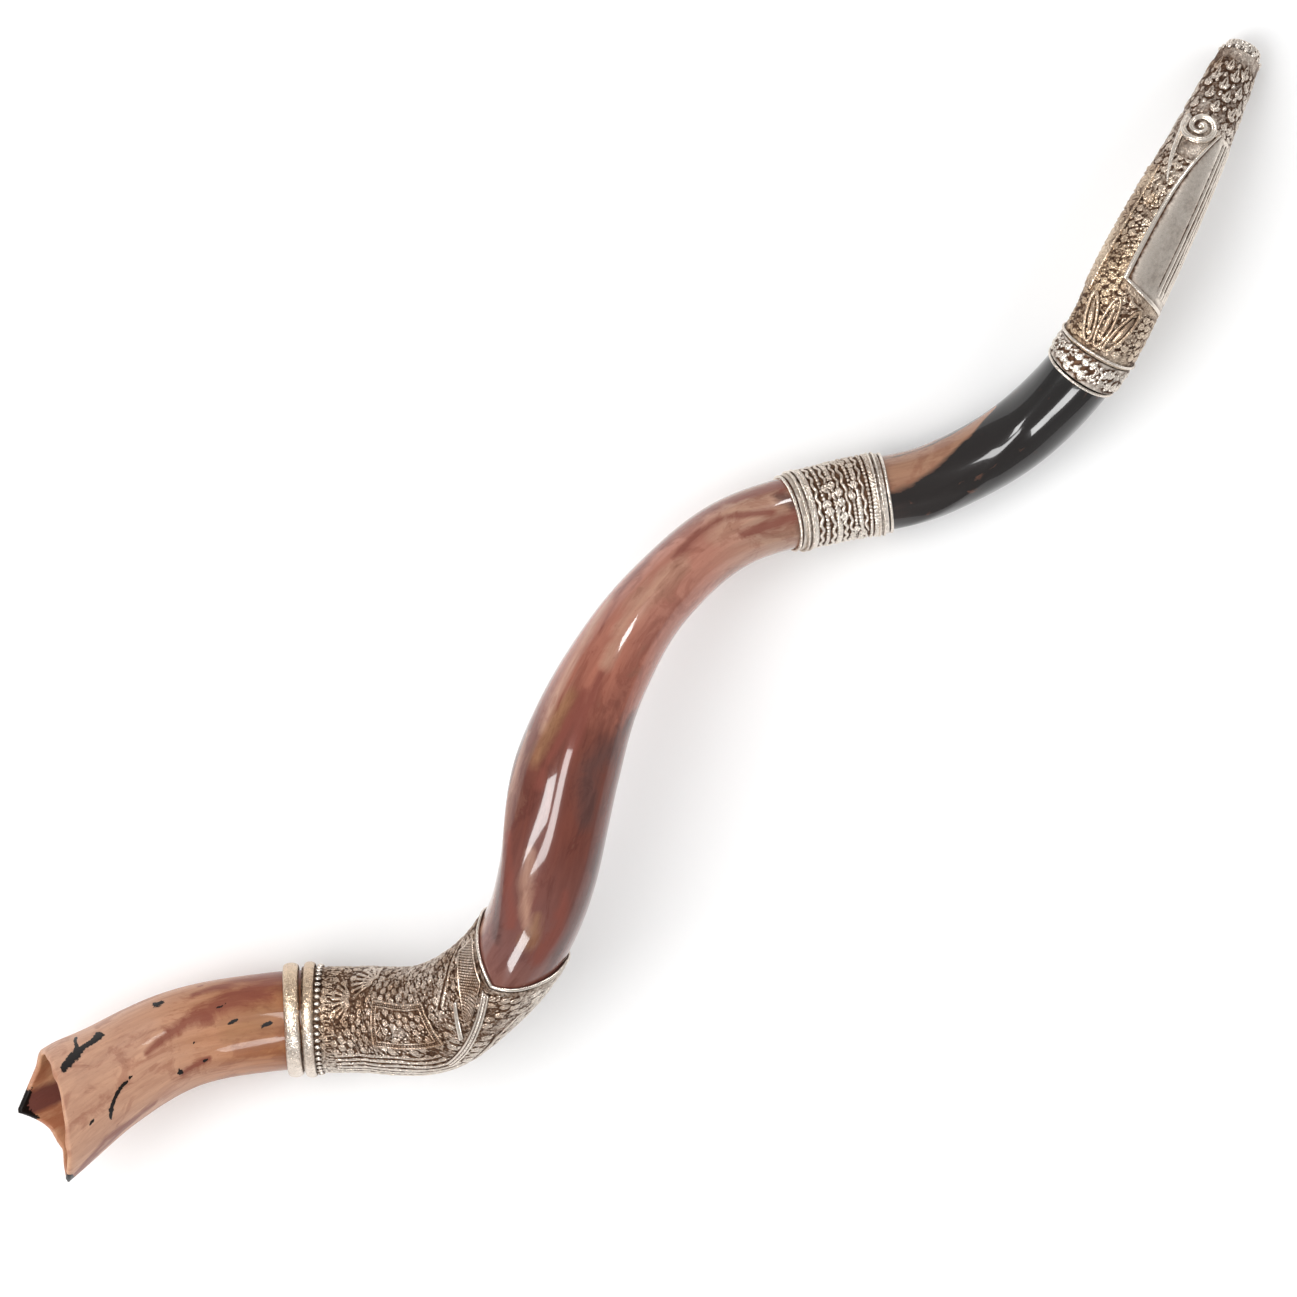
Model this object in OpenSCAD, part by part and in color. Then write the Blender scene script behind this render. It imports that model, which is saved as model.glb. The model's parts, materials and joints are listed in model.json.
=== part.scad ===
// Long twisted shofar with three silver mounts, lying as it rests on a table.
// Millimetres. X runs from the bell to the blowing end, +Z is up, the origin is at the middle of the base.

/* [Horn] */
// Girth of the horn against its natural one
girth = 1; // [0.95:0.01:1.05]
// Height of the keel against its natural one
keel_height = 1; // [0.6:0.1:1.4]
// Wall thickness at the bell
bell_wall = 3.4; // [2.8:0.1:4.2]
// Wall thickness in the middle of the horn
middle_wall = 5; // [4:0.2:6]
// Wall thickness at the blowing end
mouth_wall = 3.4; // [2.8:0.1:4]
// How far the cut of the bell leans away from square
bell_slant = 20; // [17:1:22]
// Length of the point left on the cut of the bell
bell_point = 18; // [12:1:20]
// Depth of the hollow beside the point
bell_notch = 10; // [6:1:12]

/* [Silver] */
// Thickness of the sleeves and the band
sleeve_wall = 0.9; // [0.8:0.1:1.1]
// Radius of the wires that close the sleeves
wire_r = 0.9; // [0.8:0.05:1.1]
// Height of the raised plates
relief = 0.8; // [0.6:0.1:1.2]
// Radius of the beads under the lip
lip_bead_r = 1.3; // [1:0.1:1.5]
// Number of beads under the lip
lip_beads = 15; // [12:1:17]
// Number of beads beside the bell ring
ring_beads = 36; // [24:2:44]

/* [Blowing end] */
// Radius of the blowing hole
mouth_bore_r = 8; // [7:0.5:8.5]
// Depth of the blowing hole
mouth_bore_l = 6; // [5:0.5:8]
// Thickness of the silver round the blowing hole
lip_wall = 2.6; // [2.2:0.1:3]

/* [Hidden] */

// Stations along the middle line from the bell to the blowing end. Each one has the place [x, y, height],
// the half width, the angle of the keel round the horn and the share by which the keel stands out.
// Angles run from 0 at the +Y side through 90 at the top.
stations = [
    [ -4,   -3,  82,  34,   210, 0.08],
    [ 40,   -8,  55,  29.5, 215, 0.08],
    [ 85,  -19,  36,  27.5, 215, 0.08],
    [130,  -46,  32,  27,   205, 0.08],
    [168,  -78,  36,  27,   190, 0.08],
    [197, -102,  53,  27,   170, 0.14],
    [231, -110,  73,  26.5, 125, 0.16],
    [266, -105,  92,  26,    75, 0.16],
    [303,  -86, 107,  26.5,  35, 0.16],
    [349,  -52, 111,  27.5,  -5, 0.14],
    [397,  -26, 102,  24.5, -40, 0.12],
    [450,  -12,  77,  21,   -75, 0.10],
    [505,  -14,  45,  20,  -110, 0.10],
    [560,  -39,  26.5, 20, -155, 0.08],
    [610,  -67,  21,  20.5, -220, 0.10],
    [665,  -79,  24.5, 20.5, -270, 0.12],
    [720,  -74,  48,  20,  -310, 0.08],
    [775,  -53,  57,  19.5, -340, 0.05],
    [835,  -29,  43,  16,  -370, 0.02],
    [900,   -2,   9,  10,  -400, 0]
];
last = len(stations) - 1;

// Rings of the horn for each span between stations, and facets round every ring
rings_per_span = 4;
sides = 24;
// Sharpness of the keel
keel_power = 5;

// Heights above the horn's surface
bed_in = 0.2;
bed_out = 0.6;
sleeve_in = 0.8;
sleeve_out = sleeve_in + sleeve_wall;
plate_in = sleeve_out + 0.1;
plate_out = plate_in + relief;
// Edge wires lie against the horn just past the sleeves' ends
wire_lift = wire_r + 0.1;
// Station distance that an edge wire keeps from its sleeve
wire_step = 0.03;
// Wires that lie on the band, and the station distance between them
rope_wire_r = wire_r * 0.8;
plain_wire_r = wire_r * 0.7;
wire_gap = 0.045;
// Radii of the two mouldings of the bell ring and the station distances to the second and to the beads
moulding_r = 2.2;
small_moulding_r = 1.5;
moulding_gap = 0.19;
// How much wider than high the two mouldings are
moulding_spread = 2;
ring_bead_r = 1.1;
ring_bead_gap = 0.3;

// Ends of the mounts, in stations
ring_start = 3.22;
elbow_start = 3.33;
elbow_flat_end = 6.4;
band_start = 12.56;
band_end = 13.44;
collar_start = 15.86;
collar_end = 16.1;
horn_end = 18.9;

// The mouth-side edge of the elbow sleeve dips in a V where it crosses the keel
elbow_edge = 7;
elbow_dip = 0.5;
dip_middle = 93;
dip_width = 80;
elbow_end = function(a)
    elbow_edge - elbow_dip * pow(max(0, 1 - turn_between(a, dip_middle) / dip_width), 0.8);

// Catmull-Rom curve through the stations, at u = 0 for the bell and u = last for the blowing end
function station(i) =
    i < 0 ? 2 * stations[0] - stations[1] :
    i > last ? 2 * stations[last] - stations[last - 1] : stations[i];
function spline(u) =
    let (i = min(floor(u), last - 1), t = u - i)
    let (a = station(i - 1), b = station(i), c = station(i + 1), d = station(i + 2))
    (2 * b + (c - a) * t + (2 * a - 5 * b + 4 * c - d) * t * t + (3 * b - a - 3 * c + d) * t * t * t) / 2;
function spline_slope(u) =
    let (i = min(floor(u), last - 1), t = u - i)
    let (a = station(i - 1), b = station(i), c = station(i + 1), d = station(i + 2))
    ((c - a) + 2 * (2 * a - 5 * b + 4 * c - d) * t + 3 * (3 * b - a - 3 * c + d) * t * t) / 2;

function unit(v) = v / norm(v);
function place(row) = [row[0], row[1], row[2]];
function centre(u) = place(spline(u));
function along(u) = unit(place(spline_slope(u)));
function sideways(u) = unit(cross([0, 0, 1], along(u)));
function upright(u) = cross(along(u), sideways(u));

// How far one way round the horn lies from another, in degrees
function turn_between(a, b) = abs((a - b) % 360 > 180 ? (a - b) % 360 - 360 :
    (a - b) % 360 < -180 ? (a - b) % 360 + 360 : (a - b) % 360);
function peak(a, middle, width) = pow(max(0, 1 - turn_between(a, middle) / width), 1.5);

// The bell is cut on a slant, with one point and a hollow beside it; the cut fades out over the first station
function bell_cut(a) =
    bell_slant * cos(a - 330) + 8.5 + bell_notch * peak(a, 237, 75) - bell_point * peak(a, 294, 36);
function bell_fade(u) = let (t = max(0, 1 - u / 1.3)) t * t * (3 - 2 * t);

// Half width of the horn at u in the direction a
function half_width(u, a) =
    let (row = spline(u))
    girth * row[3] * (1 + keel_height * row[5] * pow(max(0, cos(a - row[4])), keel_power));
// A point at the height h above the horn's surface
function skin(u, a, h) =
    centre(u)
    + (half_width(u, a) + h) * (cos(a) * sideways(u) + sin(a) * upright(u))
    + bell_fade(u) * bell_cut(a) * along(u);
function wall(u) = lookup(u, [[0, bell_wall], [8, middle_wall], [14, middle_wall], [horn_end, mouth_wall]]);

// The silver that covers the horn at u, as a height
function cover(u) = (u > elbow_start && u < elbow_edge) || u > collar_start ? sleeve_out : 0;
function around(u, h) = [for (k = [0 : sides - 1]) skin(u, 360 * k / sides, h)];
lip_r = mouth_bore_r + lip_wall;
// Points of the outside: the horn with its sleeves, the bell ring, the band's last wire and the lip
outline = concat(
    [for (i = [0 : floor(horn_end * rings_per_span)])
        let (u = i / rings_per_span) each around(u, cover(u))],
    around(ring_start, 2 * moulding_r + 0.1),
    around(band_end - wire_gap, plate_in + 2 * plain_wire_r),
    [for (k = [0 : sides - 1])
        let (a = 360 * k / sides, out = cos(a) * sideways(last) + sin(a) * upright(last))
        centre(last) - lip_wall / 2 * along(last) + lip_r * out]
);
function low(axis) = min([for (p = outline) p[axis]]);
function high(axis) = max([for (p = outline) p[axis]]);
// The origin goes on the table under the middle of the whole
base_shift = [-(low(0) + high(0)) / 2, -(low(1) + high(1)) / 2, -low(2)];

// Two triangles of a four-cornered face, listed clockwise as seen from outside
function quad(a, b, c, d) = [[a, b, c], [a, c, d]];

// A closed tube from two lists of rings, the outer one and the inner one, each from the bell end on
module tube(outer, inner) {
    n = len(outer);
    m = len(outer[0]);
    points = concat([for (r = outer) each r], [for (r = inner) each r]);
    function at(i, k) = i * m + k % m;
    faces = [
        for (k = [0 : m - 1]) each concat(
            [for (i = [0 : n - 2]) each quad(at(i, k), at(i + 1, k), at(i + 1, k + 1), at(i, k + 1))],
            [for (i = [n : 2 * n - 2]) each quad(at(i, k), at(i, k + 1), at(i + 1, k + 1), at(i + 1, k))],
            quad(at(0, k), at(0, k + 1), at(n, k + 1), at(n, k)),
            quad(at(n - 1, k), at(2 * n - 1, k), at(2 * n - 1, k + 1), at(n - 1, k + 1))
        )
    ];
    polyhedron(points, faces);
}

// A sleeve round the horn between the heights h0 and h1. Its ends may follow a function of the angle.
module sleeve(start, end, h0, h1, steps) {
    function ring(i, h) = [for (k = [0 : sides - 1])
        let (a = 360 * k / sides, u = start(a) + (end(a) - start(a)) * i / steps) skin(u, a, h)];
    tube([for (i = [0 : steps]) ring(i, h1)], [for (i = [0 : steps]) ring(i, h0)]);
}

// A plate on the horn's surface between the heights h0 and h1. spot(s, t) gives [u, angle] for s and t
// from 0 to 1; s runs towards the blowing end and t round the horn.
module plate(spot, h0, h1, long_steps, round_steps) {
    n = long_steps;
    m = round_steps;
    layer = (n + 1) * (m + 1);
    points = [for (h = [h0, h1], i = [0 : n], j = [0 : m])
        let (p = spot(i / n, j / m)) skin(p[0], p[1], h)];
    function at(i, j, top) = i * (m + 1) + j + top * layer;
    faces = [
        for (i = [0 : n - 1]) each concat(
            [for (j = [0 : m - 1]) each concat(
                quad(at(i, j, 1), at(i + 1, j, 1), at(i + 1, j + 1, 1), at(i, j + 1, 1)),
                quad(at(i, j, 0), at(i, j + 1, 0), at(i + 1, j + 1, 0), at(i + 1, j, 0)))],
            quad(at(i, 0, 0), at(i + 1, 0, 0), at(i + 1, 0, 1), at(i, 0, 1)),
            quad(at(i, m, 0), at(i, m, 1), at(i + 1, m, 1), at(i + 1, m, 0))
        ),
        for (j = [0 : m - 1]) each concat(
            quad(at(0, j, 0), at(0, j, 1), at(0, j + 1, 1), at(0, j + 1, 0)),
            quad(at(n, j, 0), at(n, j + 1, 0), at(n, j + 1, 1), at(n, j, 1))
        )
    ];
    polyhedron(points, faces);
}

// A wire of radius r through spots [u, angle] at the height h; a closed wire joins its own end. Its
// width is spread times its height.
module wire(spots, h, r, closed = false, round = 6, spread = 1) {
    n = len(spots);
    path = [for (s = spots) skin(s[0], s[1], h)];
    out = [for (i = [0 : n - 1]) unit(skin(spots[i][0], spots[i][1], h + 1) - path[i])];
    function before(i) = path[closed ? (i + n - 1) % n : max(0, i - 1)];
    function after(i) = path[closed ? (i + 1) % n : min(n - 1, i + 1)];
    points = [for (i = [0 : n - 1], k = [0 : round - 1])
        let (side = unit(cross(after(i) - before(i), out[i])))
        path[i] + r * (cos(360 * k / round) * out[i] + spread * sin(360 * k / round) * side)];
    function at(i, k) = (i % n) * round + k % round;
    spans = closed ? n : n - 1;
    faces = concat(
        [for (i = [0 : spans - 1], k = [0 : round - 1]) each
            quad(at(i, k), at(i + 1, k), at(i + 1, k + 1), at(i, k + 1))],
        closed ? [] : [
            [for (k = [0 : round - 1]) at(0, k)],
            [for (k = [round - 1 : -1 : 0]) at(n - 1, k)]
        ]
    );
    polyhedron(points, faces);
}

// A wire all the way round the horn whose station follows a function of the angle
module ring_wire(station_at, h, r, round = 6, spots = sides, spread = 1) {
    wire([for (k = [0 : spots - 1]) let (a = 360 * k / spots) [station_at(a), a]], h, r, true, round, spread);
}

// Children stand on the horn's surface: their X points along the horn and their Z points outwards
module on_skin(u, a, h) {
    p = skin(u, a, h);
    z = unit(cos(a) * sideways(u) + sin(a) * upright(u));
    x = along(u);
    y = cross(z, x);
    multmatrix([
        [x[0], y[0], z[0], p[0]],
        [x[1], y[1], z[1], p[1]],
        [x[2], y[2], z[2], p[2]],
        [0, 0, 0, 1]
    ]) children();
}

// Children stand at the blowing end: their Z points out of the hole
module at_mouth() {
    p = centre(last);
    x = sideways(last);
    y = upright(last);
    z = along(last);
    multmatrix([
        [x[0], y[0], z[0], p[0]],
        [x[1], y[1], z[1], p[1]],
        [x[2], y[2], z[2], p[2]],
        [0, 0, 0, 1]
    ]) children();
}

module horn() {
    us = [for (i = [0 : floor(horn_end * rings_per_span)]) i / rings_per_span, horn_end];
    color("rosybrown") tube(
        [for (u = us) around(u, 0)],
        [for (u = us) around(u, -wall(u))]
    );
}

// Pitch and resin between the silver and the horn
module bedding(start, end, steps) {
    color("saddlebrown") sleeve(function(a) start, function(a) end, bed_in, bed_out, steps);
}
module mouth_bedding() {
    bedding(collar_start + wire_step, horn_end, 13);
}
module middle_bedding() {
    bedding(band_start, band_end, 4);
}
module elbow_bedding() {
    bedding(elbow_start, elbow_flat_end - 0.1, 12);
}

module mouth_sleeve() {
    color("silver") sleeve(function(a) collar_end, function(a) horn_end, sleeve_in, sleeve_out, 18);
}

// Round lip: its hole is a true cylinder, and its front edge is rolled over
module mouth_rim() {
    roll = lip_wall / 2;
    color("silver") at_mouth() rotate_extrude($fn = 64) union() {
        translate([mouth_bore_r, -mouth_bore_l]) square([lip_wall - 0.4, mouth_bore_l - roll]);
        translate([mouth_bore_r, -roll]) square([roll, roll]);
        translate([mouth_bore_r + roll, -roll]) circle(roll, $fn = 32);
    }
}

// Cast beads in a ring behind the lip
module mouth_beads() {
    back = mouth_bore_l + 0.6;
    ring_r = half_width(horn_end, 0) + sleeve_out - 0.4;
    color("silver") at_mouth() translate([0, 0, -back]) {
        rotate_extrude($fn = 64) translate([ring_r - 1.2, -0.4]) square([1.4, 0.8]);
        for (k = [0 : lip_beads - 1]) rotate(360 * k / lip_beads)
            translate([ring_r, 0, 0]) sphere(lip_bead_r, $fn = 24);
    }
}

// Spiral scroll near the lip: one turn and a half, then a tail that runs down the sleeve
module mouth_volute() {
    u = 18.18;
    a = 78;
    turns = 1.5;
    size = 10.5;
    steps = 26;
    tail_steps = 7;
    // Stations and degrees that one millimetre makes on the sleeve here
    per_mm_u = 1 / 76;
    per_mm_a = 57.3 / 16;
    coil = [for (i = [0 : steps])
        let (t = i / steps, w = 360 * turns * t + 120, r = size * (0.3 + 0.7 * t))
        [u + r * cos(w) * per_mm_u, a + r * sin(w) * per_mm_a]];
    tail = [for (i = [1 : tail_steps])
        [u - (size * 0.4 + 5 * i) * per_mm_u, a - 32 + 3.6 * i]];
    color("silver") {
        wire(concat(coil, tail), plate_in + wire_r, wire_r);
        on_skin(u, a, plate_in + 1) sphere(1.2, $fn = 24);
    }
}

// Smooth panel that widens away from the lip; its far edge runs straight along the sleeve
module mouth_panel() {
    start = 16.82;
    skew = 0.2;
    reach = 1.38;
    near_a = 74;
    sweep = 44;
    far_a = 174;
    color("gainsboro") plate(
        function(s, t) let (low_a = near_a + sweep * pow(s, 4))
            [start + reach * s - skew * t * (1 - s), low_a + (far_a - low_a) * t],
        plate_in, plate_out, 14, 8);
}

// Vine strip whose leaves stand out past the sleeve's outline as seen from above
module mouth_vine() {
    start = 16.6;
    end = 17.8;
    leaves = 7;
    inner_a = 16;
    width_a = 18;
    climb = 8;
    overhang = 16;
    color("tan") {
        plate(function(s, t) [start + (end - start) * s, inner_a + width_a * t + climb * s],
            plate_in, plate_out, 10, 2);
        for (k = [0 : leaves - 1]) {
            f = (k + 0.3) / leaves;
            u = start + (end - start) * f;
            root = inner_a + 4 + climb * f;
            plate(
                function(s, t)
                    [u + 0.07 * (1 - t) + 0.12 * s * (0.3 + 0.7 * t), (root + overhang) * t - overhang],
                plate_in + 0.3, plate_out + 0.6, 2, 3);
        }
    }
}

// Six petals round a boss
module mouth_rosette() {
    petal_r = 1.9;
    petals = 6;
    color("tan") on_skin(17.48, 58, plate_in + 0.9) {
        sphere(petal_r, $fn = 24);
        for (k = [0 : petals - 1]) rotate(360 * k / petals)
            translate([petal_r * 1.7, 0, -0.2]) sphere(petal_r * 0.8, $fn = 24);
    }
}

// Three looped leaves that open towards the lip
module mouth_palmette() {
    u = 16.2;
    a = 84;
    loops = 3;
    spread = 36;
    half = 9;
    steps = 16;
    color("tan") for (k = [0 : loops - 1]) {
        lean = (k - (loops - 1) / 2) * spread;
        reach = 0.46 - 0.0012 * abs(lean);
        wire([for (i = [0 : steps - 1])
            let (w = 360 * i / steps, f = (1 - cos(w)) / 2)
            [u + reach * f, a + lean * (0.4 + 0.6 * f) + half * sin(w)]],
            plate_in + wire_r * 0.8, wire_r * 0.8, true);
    }
}

// Cast collar that closes the mouth sleeve on the dark part of the horn
module mouth_collar() {
    color("gainsboro")
        sleeve(function(a) collar_start, function(a) collar_end - 0.01, sleeve_in, plate_out, 3);
}
module mouth_collar_wires() {
    color("silver") {
        ring_wire(function(a) collar_start - wire_step, wire_lift, wire_r);
        ring_wire(function(a) collar_end + wire_step, plate_in + wire_r, wire_r);
    }
}

module middle_band() {
    color("gainsboro") sleeve(function(a) band_start, function(a) band_end, sleeve_in, sleeve_out, 6);
}
// Twisted wires on the bell side: one closes the band and two lie on it
module middle_rope_wires() {
    color("silver") {
        ring_wire(function(a) band_start - wire_step, wire_lift, wire_r);
        for (k = [1 : 2])
            ring_wire(function(a) band_start + wire_gap * k, plate_in + rope_wire_r, rope_wire_r);
    }
}
// Plain wires on the mouth side
module middle_edge_wires() {
    color("silver") {
        ring_wire(function(a) band_end + wire_step, wire_lift, wire_r);
        for (k = [1 : 2])
            ring_wire(function(a) band_end - wire_gap * k, plate_in + plain_wire_r, plain_wire_r);
    }
}

module elbow_sleeve() {
    color("silver") sleeve(function(a) elbow_start, elbow_end, sleeve_in, sleeve_out, 18);
}
// Wire that follows the V of the sleeve's edge
module elbow_edge_wire() {
    color("silver") ring_wire(function(a) elbow_end(a) + 0.04, wire_lift + 0.2, wire_r, spots = 40);
}

// Raised plate with a frame, between the bell ring and the seam
module elbow_panel() {
    start = 4.42;
    end = 5.42;
    low_a = 68;
    high_a = 124;
    steps = 7;
    function u_at(f) = start + (end - start) * f;
    function a_at(f) = low_a + (high_a - low_a) * f;
    parts = [for (i = [0 : steps - 1]) i / steps];
    frame = concat(
        [for (f = parts) [u_at(f), a_at(0)]],
        [for (f = parts) [u_at(1), a_at(f)]],
        [for (f = parts) [u_at(1 - f), a_at(1)]],
        [for (f = parts) [u_at(0), a_at(1 - f)]]
    );
    color("silver") {
        plate(function(s, t) [u_at(s), a_at(t)], plate_in, plate_out, steps, steps);
        wire(frame, plate_out + 0.1, 0.6, true);
    }
}

// The seam crosses the bend; the keel strap runs from the V down past the seam's far end
seam_low = 84;
seam_high = 124;
function seam_u(a) = 6.32 - 0.74 * (a - 24) / 108;
strap_start = 5.22;
strap_end = 6.42;
strap_turn = -10;
function keel_angle(u) = spline(u)[4];

// Stippled three-cornered plate between the seam, the V and the keel strap
module elbow_gore() {
    first = 30;
    final = 112;
    function far_side(a) = min(elbow_end(a) - 0.06, 6.28 - 0.02 * (a - 93));
    color("silver") plate(
        function(s, t) let (a = first + (final - first) * t, near = seam_u(a) + 0.1)
            [near + (far_side(a) - near) * s, a],
        plate_in, plate_out, 4, 8);
}
module keel_strap() {
    half = 5;
    color("silver") plate(
        function(s, t) let (u = strap_start + (strap_end - strap_start) * s)
            [u, keel_angle(u) + strap_turn + half * (2 * t - 1)],
        plate_in, plate_out + 0.5, 10, 2);
}
module seam_strap() {
    color("gainsboro") plate(
        function(s, t) let (a = seam_low + (seam_high - seam_low) * t) [seam_u(a) + 0.05 * (2 * s - 1), a],
        plate_in, plate_out, 2, 10);
}

// Two polished half-round mouldings at the bell side of the elbow sleeve
module bell_ring() {
    color("gainsboro") {
        ring_wire(function(a) ring_start, moulding_r + 0.1, moulding_r, 10, spread = moulding_spread);
        ring_wire(function(a) ring_start + moulding_gap,
            sleeve_out + 1.1 * small_moulding_r, small_moulding_r, 10, spread = moulding_spread);
    }
}
module bell_ring_beads() {
    color("silver") for (k = [0 : ring_beads - 1])
        on_skin(ring_start + ring_bead_gap, 360 * k / ring_beads, sleeve_out + 0.9 * ring_bead_r)
            sphere(ring_bead_r, $fn = 16);
}

translate(base_shift) {
    horn();
    mouth_bedding();
    middle_bedding();
    elbow_bedding();
    mouth_sleeve();
    mouth_rim();
    mouth_beads();
    mouth_volute();
    mouth_panel();
    mouth_vine();
    mouth_rosette();
    mouth_palmette();
    mouth_collar();
    mouth_collar_wires();
    middle_band();
    middle_rope_wires();
    middle_edge_wires();
    elbow_sleeve();
    elbow_panel();
    elbow_gore();
    elbow_edge_wire();
    bell_ring();
    bell_ring_beads();
    keel_strap();
    seam_strap();
}
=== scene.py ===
"""Looks of a long twisted shofar with three chased silver mounts, lying on a pale table."""

import json
import math

import bmesh
import bpy
import numpy as np
from mathutils import Matrix, Vector


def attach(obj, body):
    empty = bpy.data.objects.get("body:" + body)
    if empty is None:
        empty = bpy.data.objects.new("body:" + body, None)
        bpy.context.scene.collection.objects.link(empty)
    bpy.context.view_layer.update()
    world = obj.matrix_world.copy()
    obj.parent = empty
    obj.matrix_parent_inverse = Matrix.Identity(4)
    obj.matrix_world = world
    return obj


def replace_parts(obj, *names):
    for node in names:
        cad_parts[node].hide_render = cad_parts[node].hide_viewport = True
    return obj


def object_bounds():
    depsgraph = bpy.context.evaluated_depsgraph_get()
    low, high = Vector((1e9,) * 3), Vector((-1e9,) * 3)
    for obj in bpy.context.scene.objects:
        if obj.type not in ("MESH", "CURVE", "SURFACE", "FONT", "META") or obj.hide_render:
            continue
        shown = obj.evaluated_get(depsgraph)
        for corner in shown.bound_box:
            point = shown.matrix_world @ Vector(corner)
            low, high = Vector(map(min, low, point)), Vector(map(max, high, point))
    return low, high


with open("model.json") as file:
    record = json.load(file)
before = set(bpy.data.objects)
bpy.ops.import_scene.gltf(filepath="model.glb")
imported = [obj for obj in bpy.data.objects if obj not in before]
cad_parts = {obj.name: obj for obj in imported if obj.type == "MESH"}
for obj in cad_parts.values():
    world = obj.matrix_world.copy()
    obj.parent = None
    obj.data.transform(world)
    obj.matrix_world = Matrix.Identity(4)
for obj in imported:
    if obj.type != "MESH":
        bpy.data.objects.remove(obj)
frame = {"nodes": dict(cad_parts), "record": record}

cad_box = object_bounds()
MM = 0.001

# ---------------------------------------------------------------------------------------------
# The horn's course: place in mm, half width, angle of the keel and the share by which it stands out
# ---------------------------------------------------------------------------------------------
STATIONS = np.array([
    [-4, -3, 82, 34, 210, 0.08],
    [40, -8, 55, 29.5, 215, 0.08],
    [85, -19, 36, 27.5, 215, 0.08],
    [130, -46, 32, 27, 205, 0.08],
    [168, -78, 36, 27, 190, 0.08],
    [197, -102, 53, 27, 170, 0.14],
    [231, -110, 73, 26.5, 125, 0.16],
    [266, -105, 92, 26, 75, 0.16],
    [303, -86, 107, 26.5, 35, 0.16],
    [349, -52, 111, 27.5, -5, 0.14],
    [397, -26, 102, 24.5, -40, 0.12],
    [450, -12, 77, 21, -75, 0.10],
    [505, -14, 45, 20, -110, 0.10],
    [560, -39, 26.5, 20, -155, 0.08],
    [610, -67, 21, 20.5, -220, 0.10],
    [665, -79, 24.5, 20.5, -270, 0.12],
    [720, -74, 48, 20, -310, 0.08],
    [775, -53, 57, 19.5, -340, 0.05],
    [835, -29, 43, 16, -370, 0.02],
    [900, -2, 9, 10, -400, 0],
], float)
LAST = len(STATIONS) - 1
COURSE = np.vstack([2 * STATIONS[0] - STATIONS[1], STATIONS, 2 * STATIONS[-1] - STATIONS[-2]])

KEEL_POWER = 5
BELL_REACH, BELL_SLANT, BELL_NOTCH, BELL_POINT = 8.5, 20, 10, 18
BELL_FADE = 1.3
BELL_WALL, MIDDLE_WALL, MOUTH_WALL = 3.4, 5, 3.4
HORN_END = 18.9
RING_START, MOULDING_GAP, RING_BEAD_GAP = 3.22, 0.19, 0.3
ELBOW_START, ELBOW_EDGE, ELBOW_DIP = 3.33, 7, 0.5
DIP_MIDDLE, DIP_WIDTH = 93, 80
FRAME_START, FRAME_END, FRAME_LOW, FRAME_HIGH = 4.42, 5.42, 68, 124
SEAM_LOW, SEAM_HIGH = 84, 124
BAND_START, BAND_END = 12.56, 13.44
COLLAR_START, COLLAR_END = 15.86, 16.1
SLEEVE_IN, SLEEVE_OUT = 0.8, 1.7
PLATE_IN, PLATE_OUT = SLEEVE_OUT - 0.2, 2.6
ELBOW_R, BAND_R, COLLAR_R, MOUTH_R = 28.7, 21.5, 22.5, 19
BORE_R, LIP_WALL = 8, 2.1


def unit(v):
    return v / np.linalg.norm(v, axis=-1, keepdims=True)


def course(u):
    """Rows of the station table and their slopes at u."""
    u = np.asarray(u, float)
    i = np.minimum(np.floor(u).astype(int), LAST - 1)
    t = (u - i)[..., None]
    a, b, c, d = (COURSE[i + k] for k in range(4))
    row = (2 * b + (c - a) * t + (2 * a - 5 * b + 4 * c - d) * t**2 + (3 * b - a - 3 * c + d) * t**3) / 2
    slope = ((c - a) + 2 * (2 * a - 5 * b + 4 * c - d) * t + 3 * (3 * b - a - 3 * c + d) * t**2) / 2
    return row, slope


def axes(u):
    """Directions along the horn, to its side and up from it."""
    along = unit(course(u)[1][..., :3])
    side = unit(np.cross([0.0, 0.0, 1.0], along))
    return along, side, np.cross(along, side)


def turn_between(a, b):
    return np.abs((a - b + 180) % 360 - 180)


def peak(a, middle, width):
    return np.maximum(0, 1 - turn_between(a, middle) / width) ** 1.5


def bell_cut(a):
    """How far in mm the bell's rim reaches out at each angle."""
    slant = BELL_SLANT * np.cos(np.radians(a - 330))
    return slant + BELL_REACH + BELL_NOTCH * peak(a, 237, 75) - BELL_POINT * peak(a, 294, 36)


def elbow_end(a):
    """Where the elbow sleeve ends: its edge dips back on the outside of the bend."""
    return ELBOW_EDGE - ELBOW_DIP * np.maximum(0, 1 - turn_between(a, DIP_MIDDLE) / DIP_WIDTH) ** 0.8


# The blowing hole's mount in the record says where the course lies in the frame
mount = [m for m in frame["record"]["mounts"] if m["name"] == "mouth_bore"][0]
MOUTH_AXIS = axes(float(LAST))[0]
SHIFT = np.array(mount["pos_m"]) / MM + 3 * MOUTH_AXIS - STATIONS[-1, :3]


def skin(u, a, h):
    """Points in metres, h mm over the horn's surface, at station u and a degrees round it."""
    u, a, h = np.broadcast_arrays(np.asarray(u, float), a, h)
    row, _ = course(u)
    along, side, up = axes(u)
    turn = np.radians(a)
    keel = np.maximum(0, np.cos(turn - np.radians(row[..., 4]))) ** KEEL_POWER
    radius = row[..., 3] * (1 + row[..., 5] * keel) + h
    out = np.cos(turn)[..., None] * side + np.sin(turn)[..., None] * up
    fade = np.maximum(0, 1 - u / BELL_FADE)
    fade = fade * fade * (3 - 2 * fade)
    return (row[..., :3] + radius[..., None] * out + (fade * bell_cut(a))[..., None] * along + SHIFT) * MM


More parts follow.
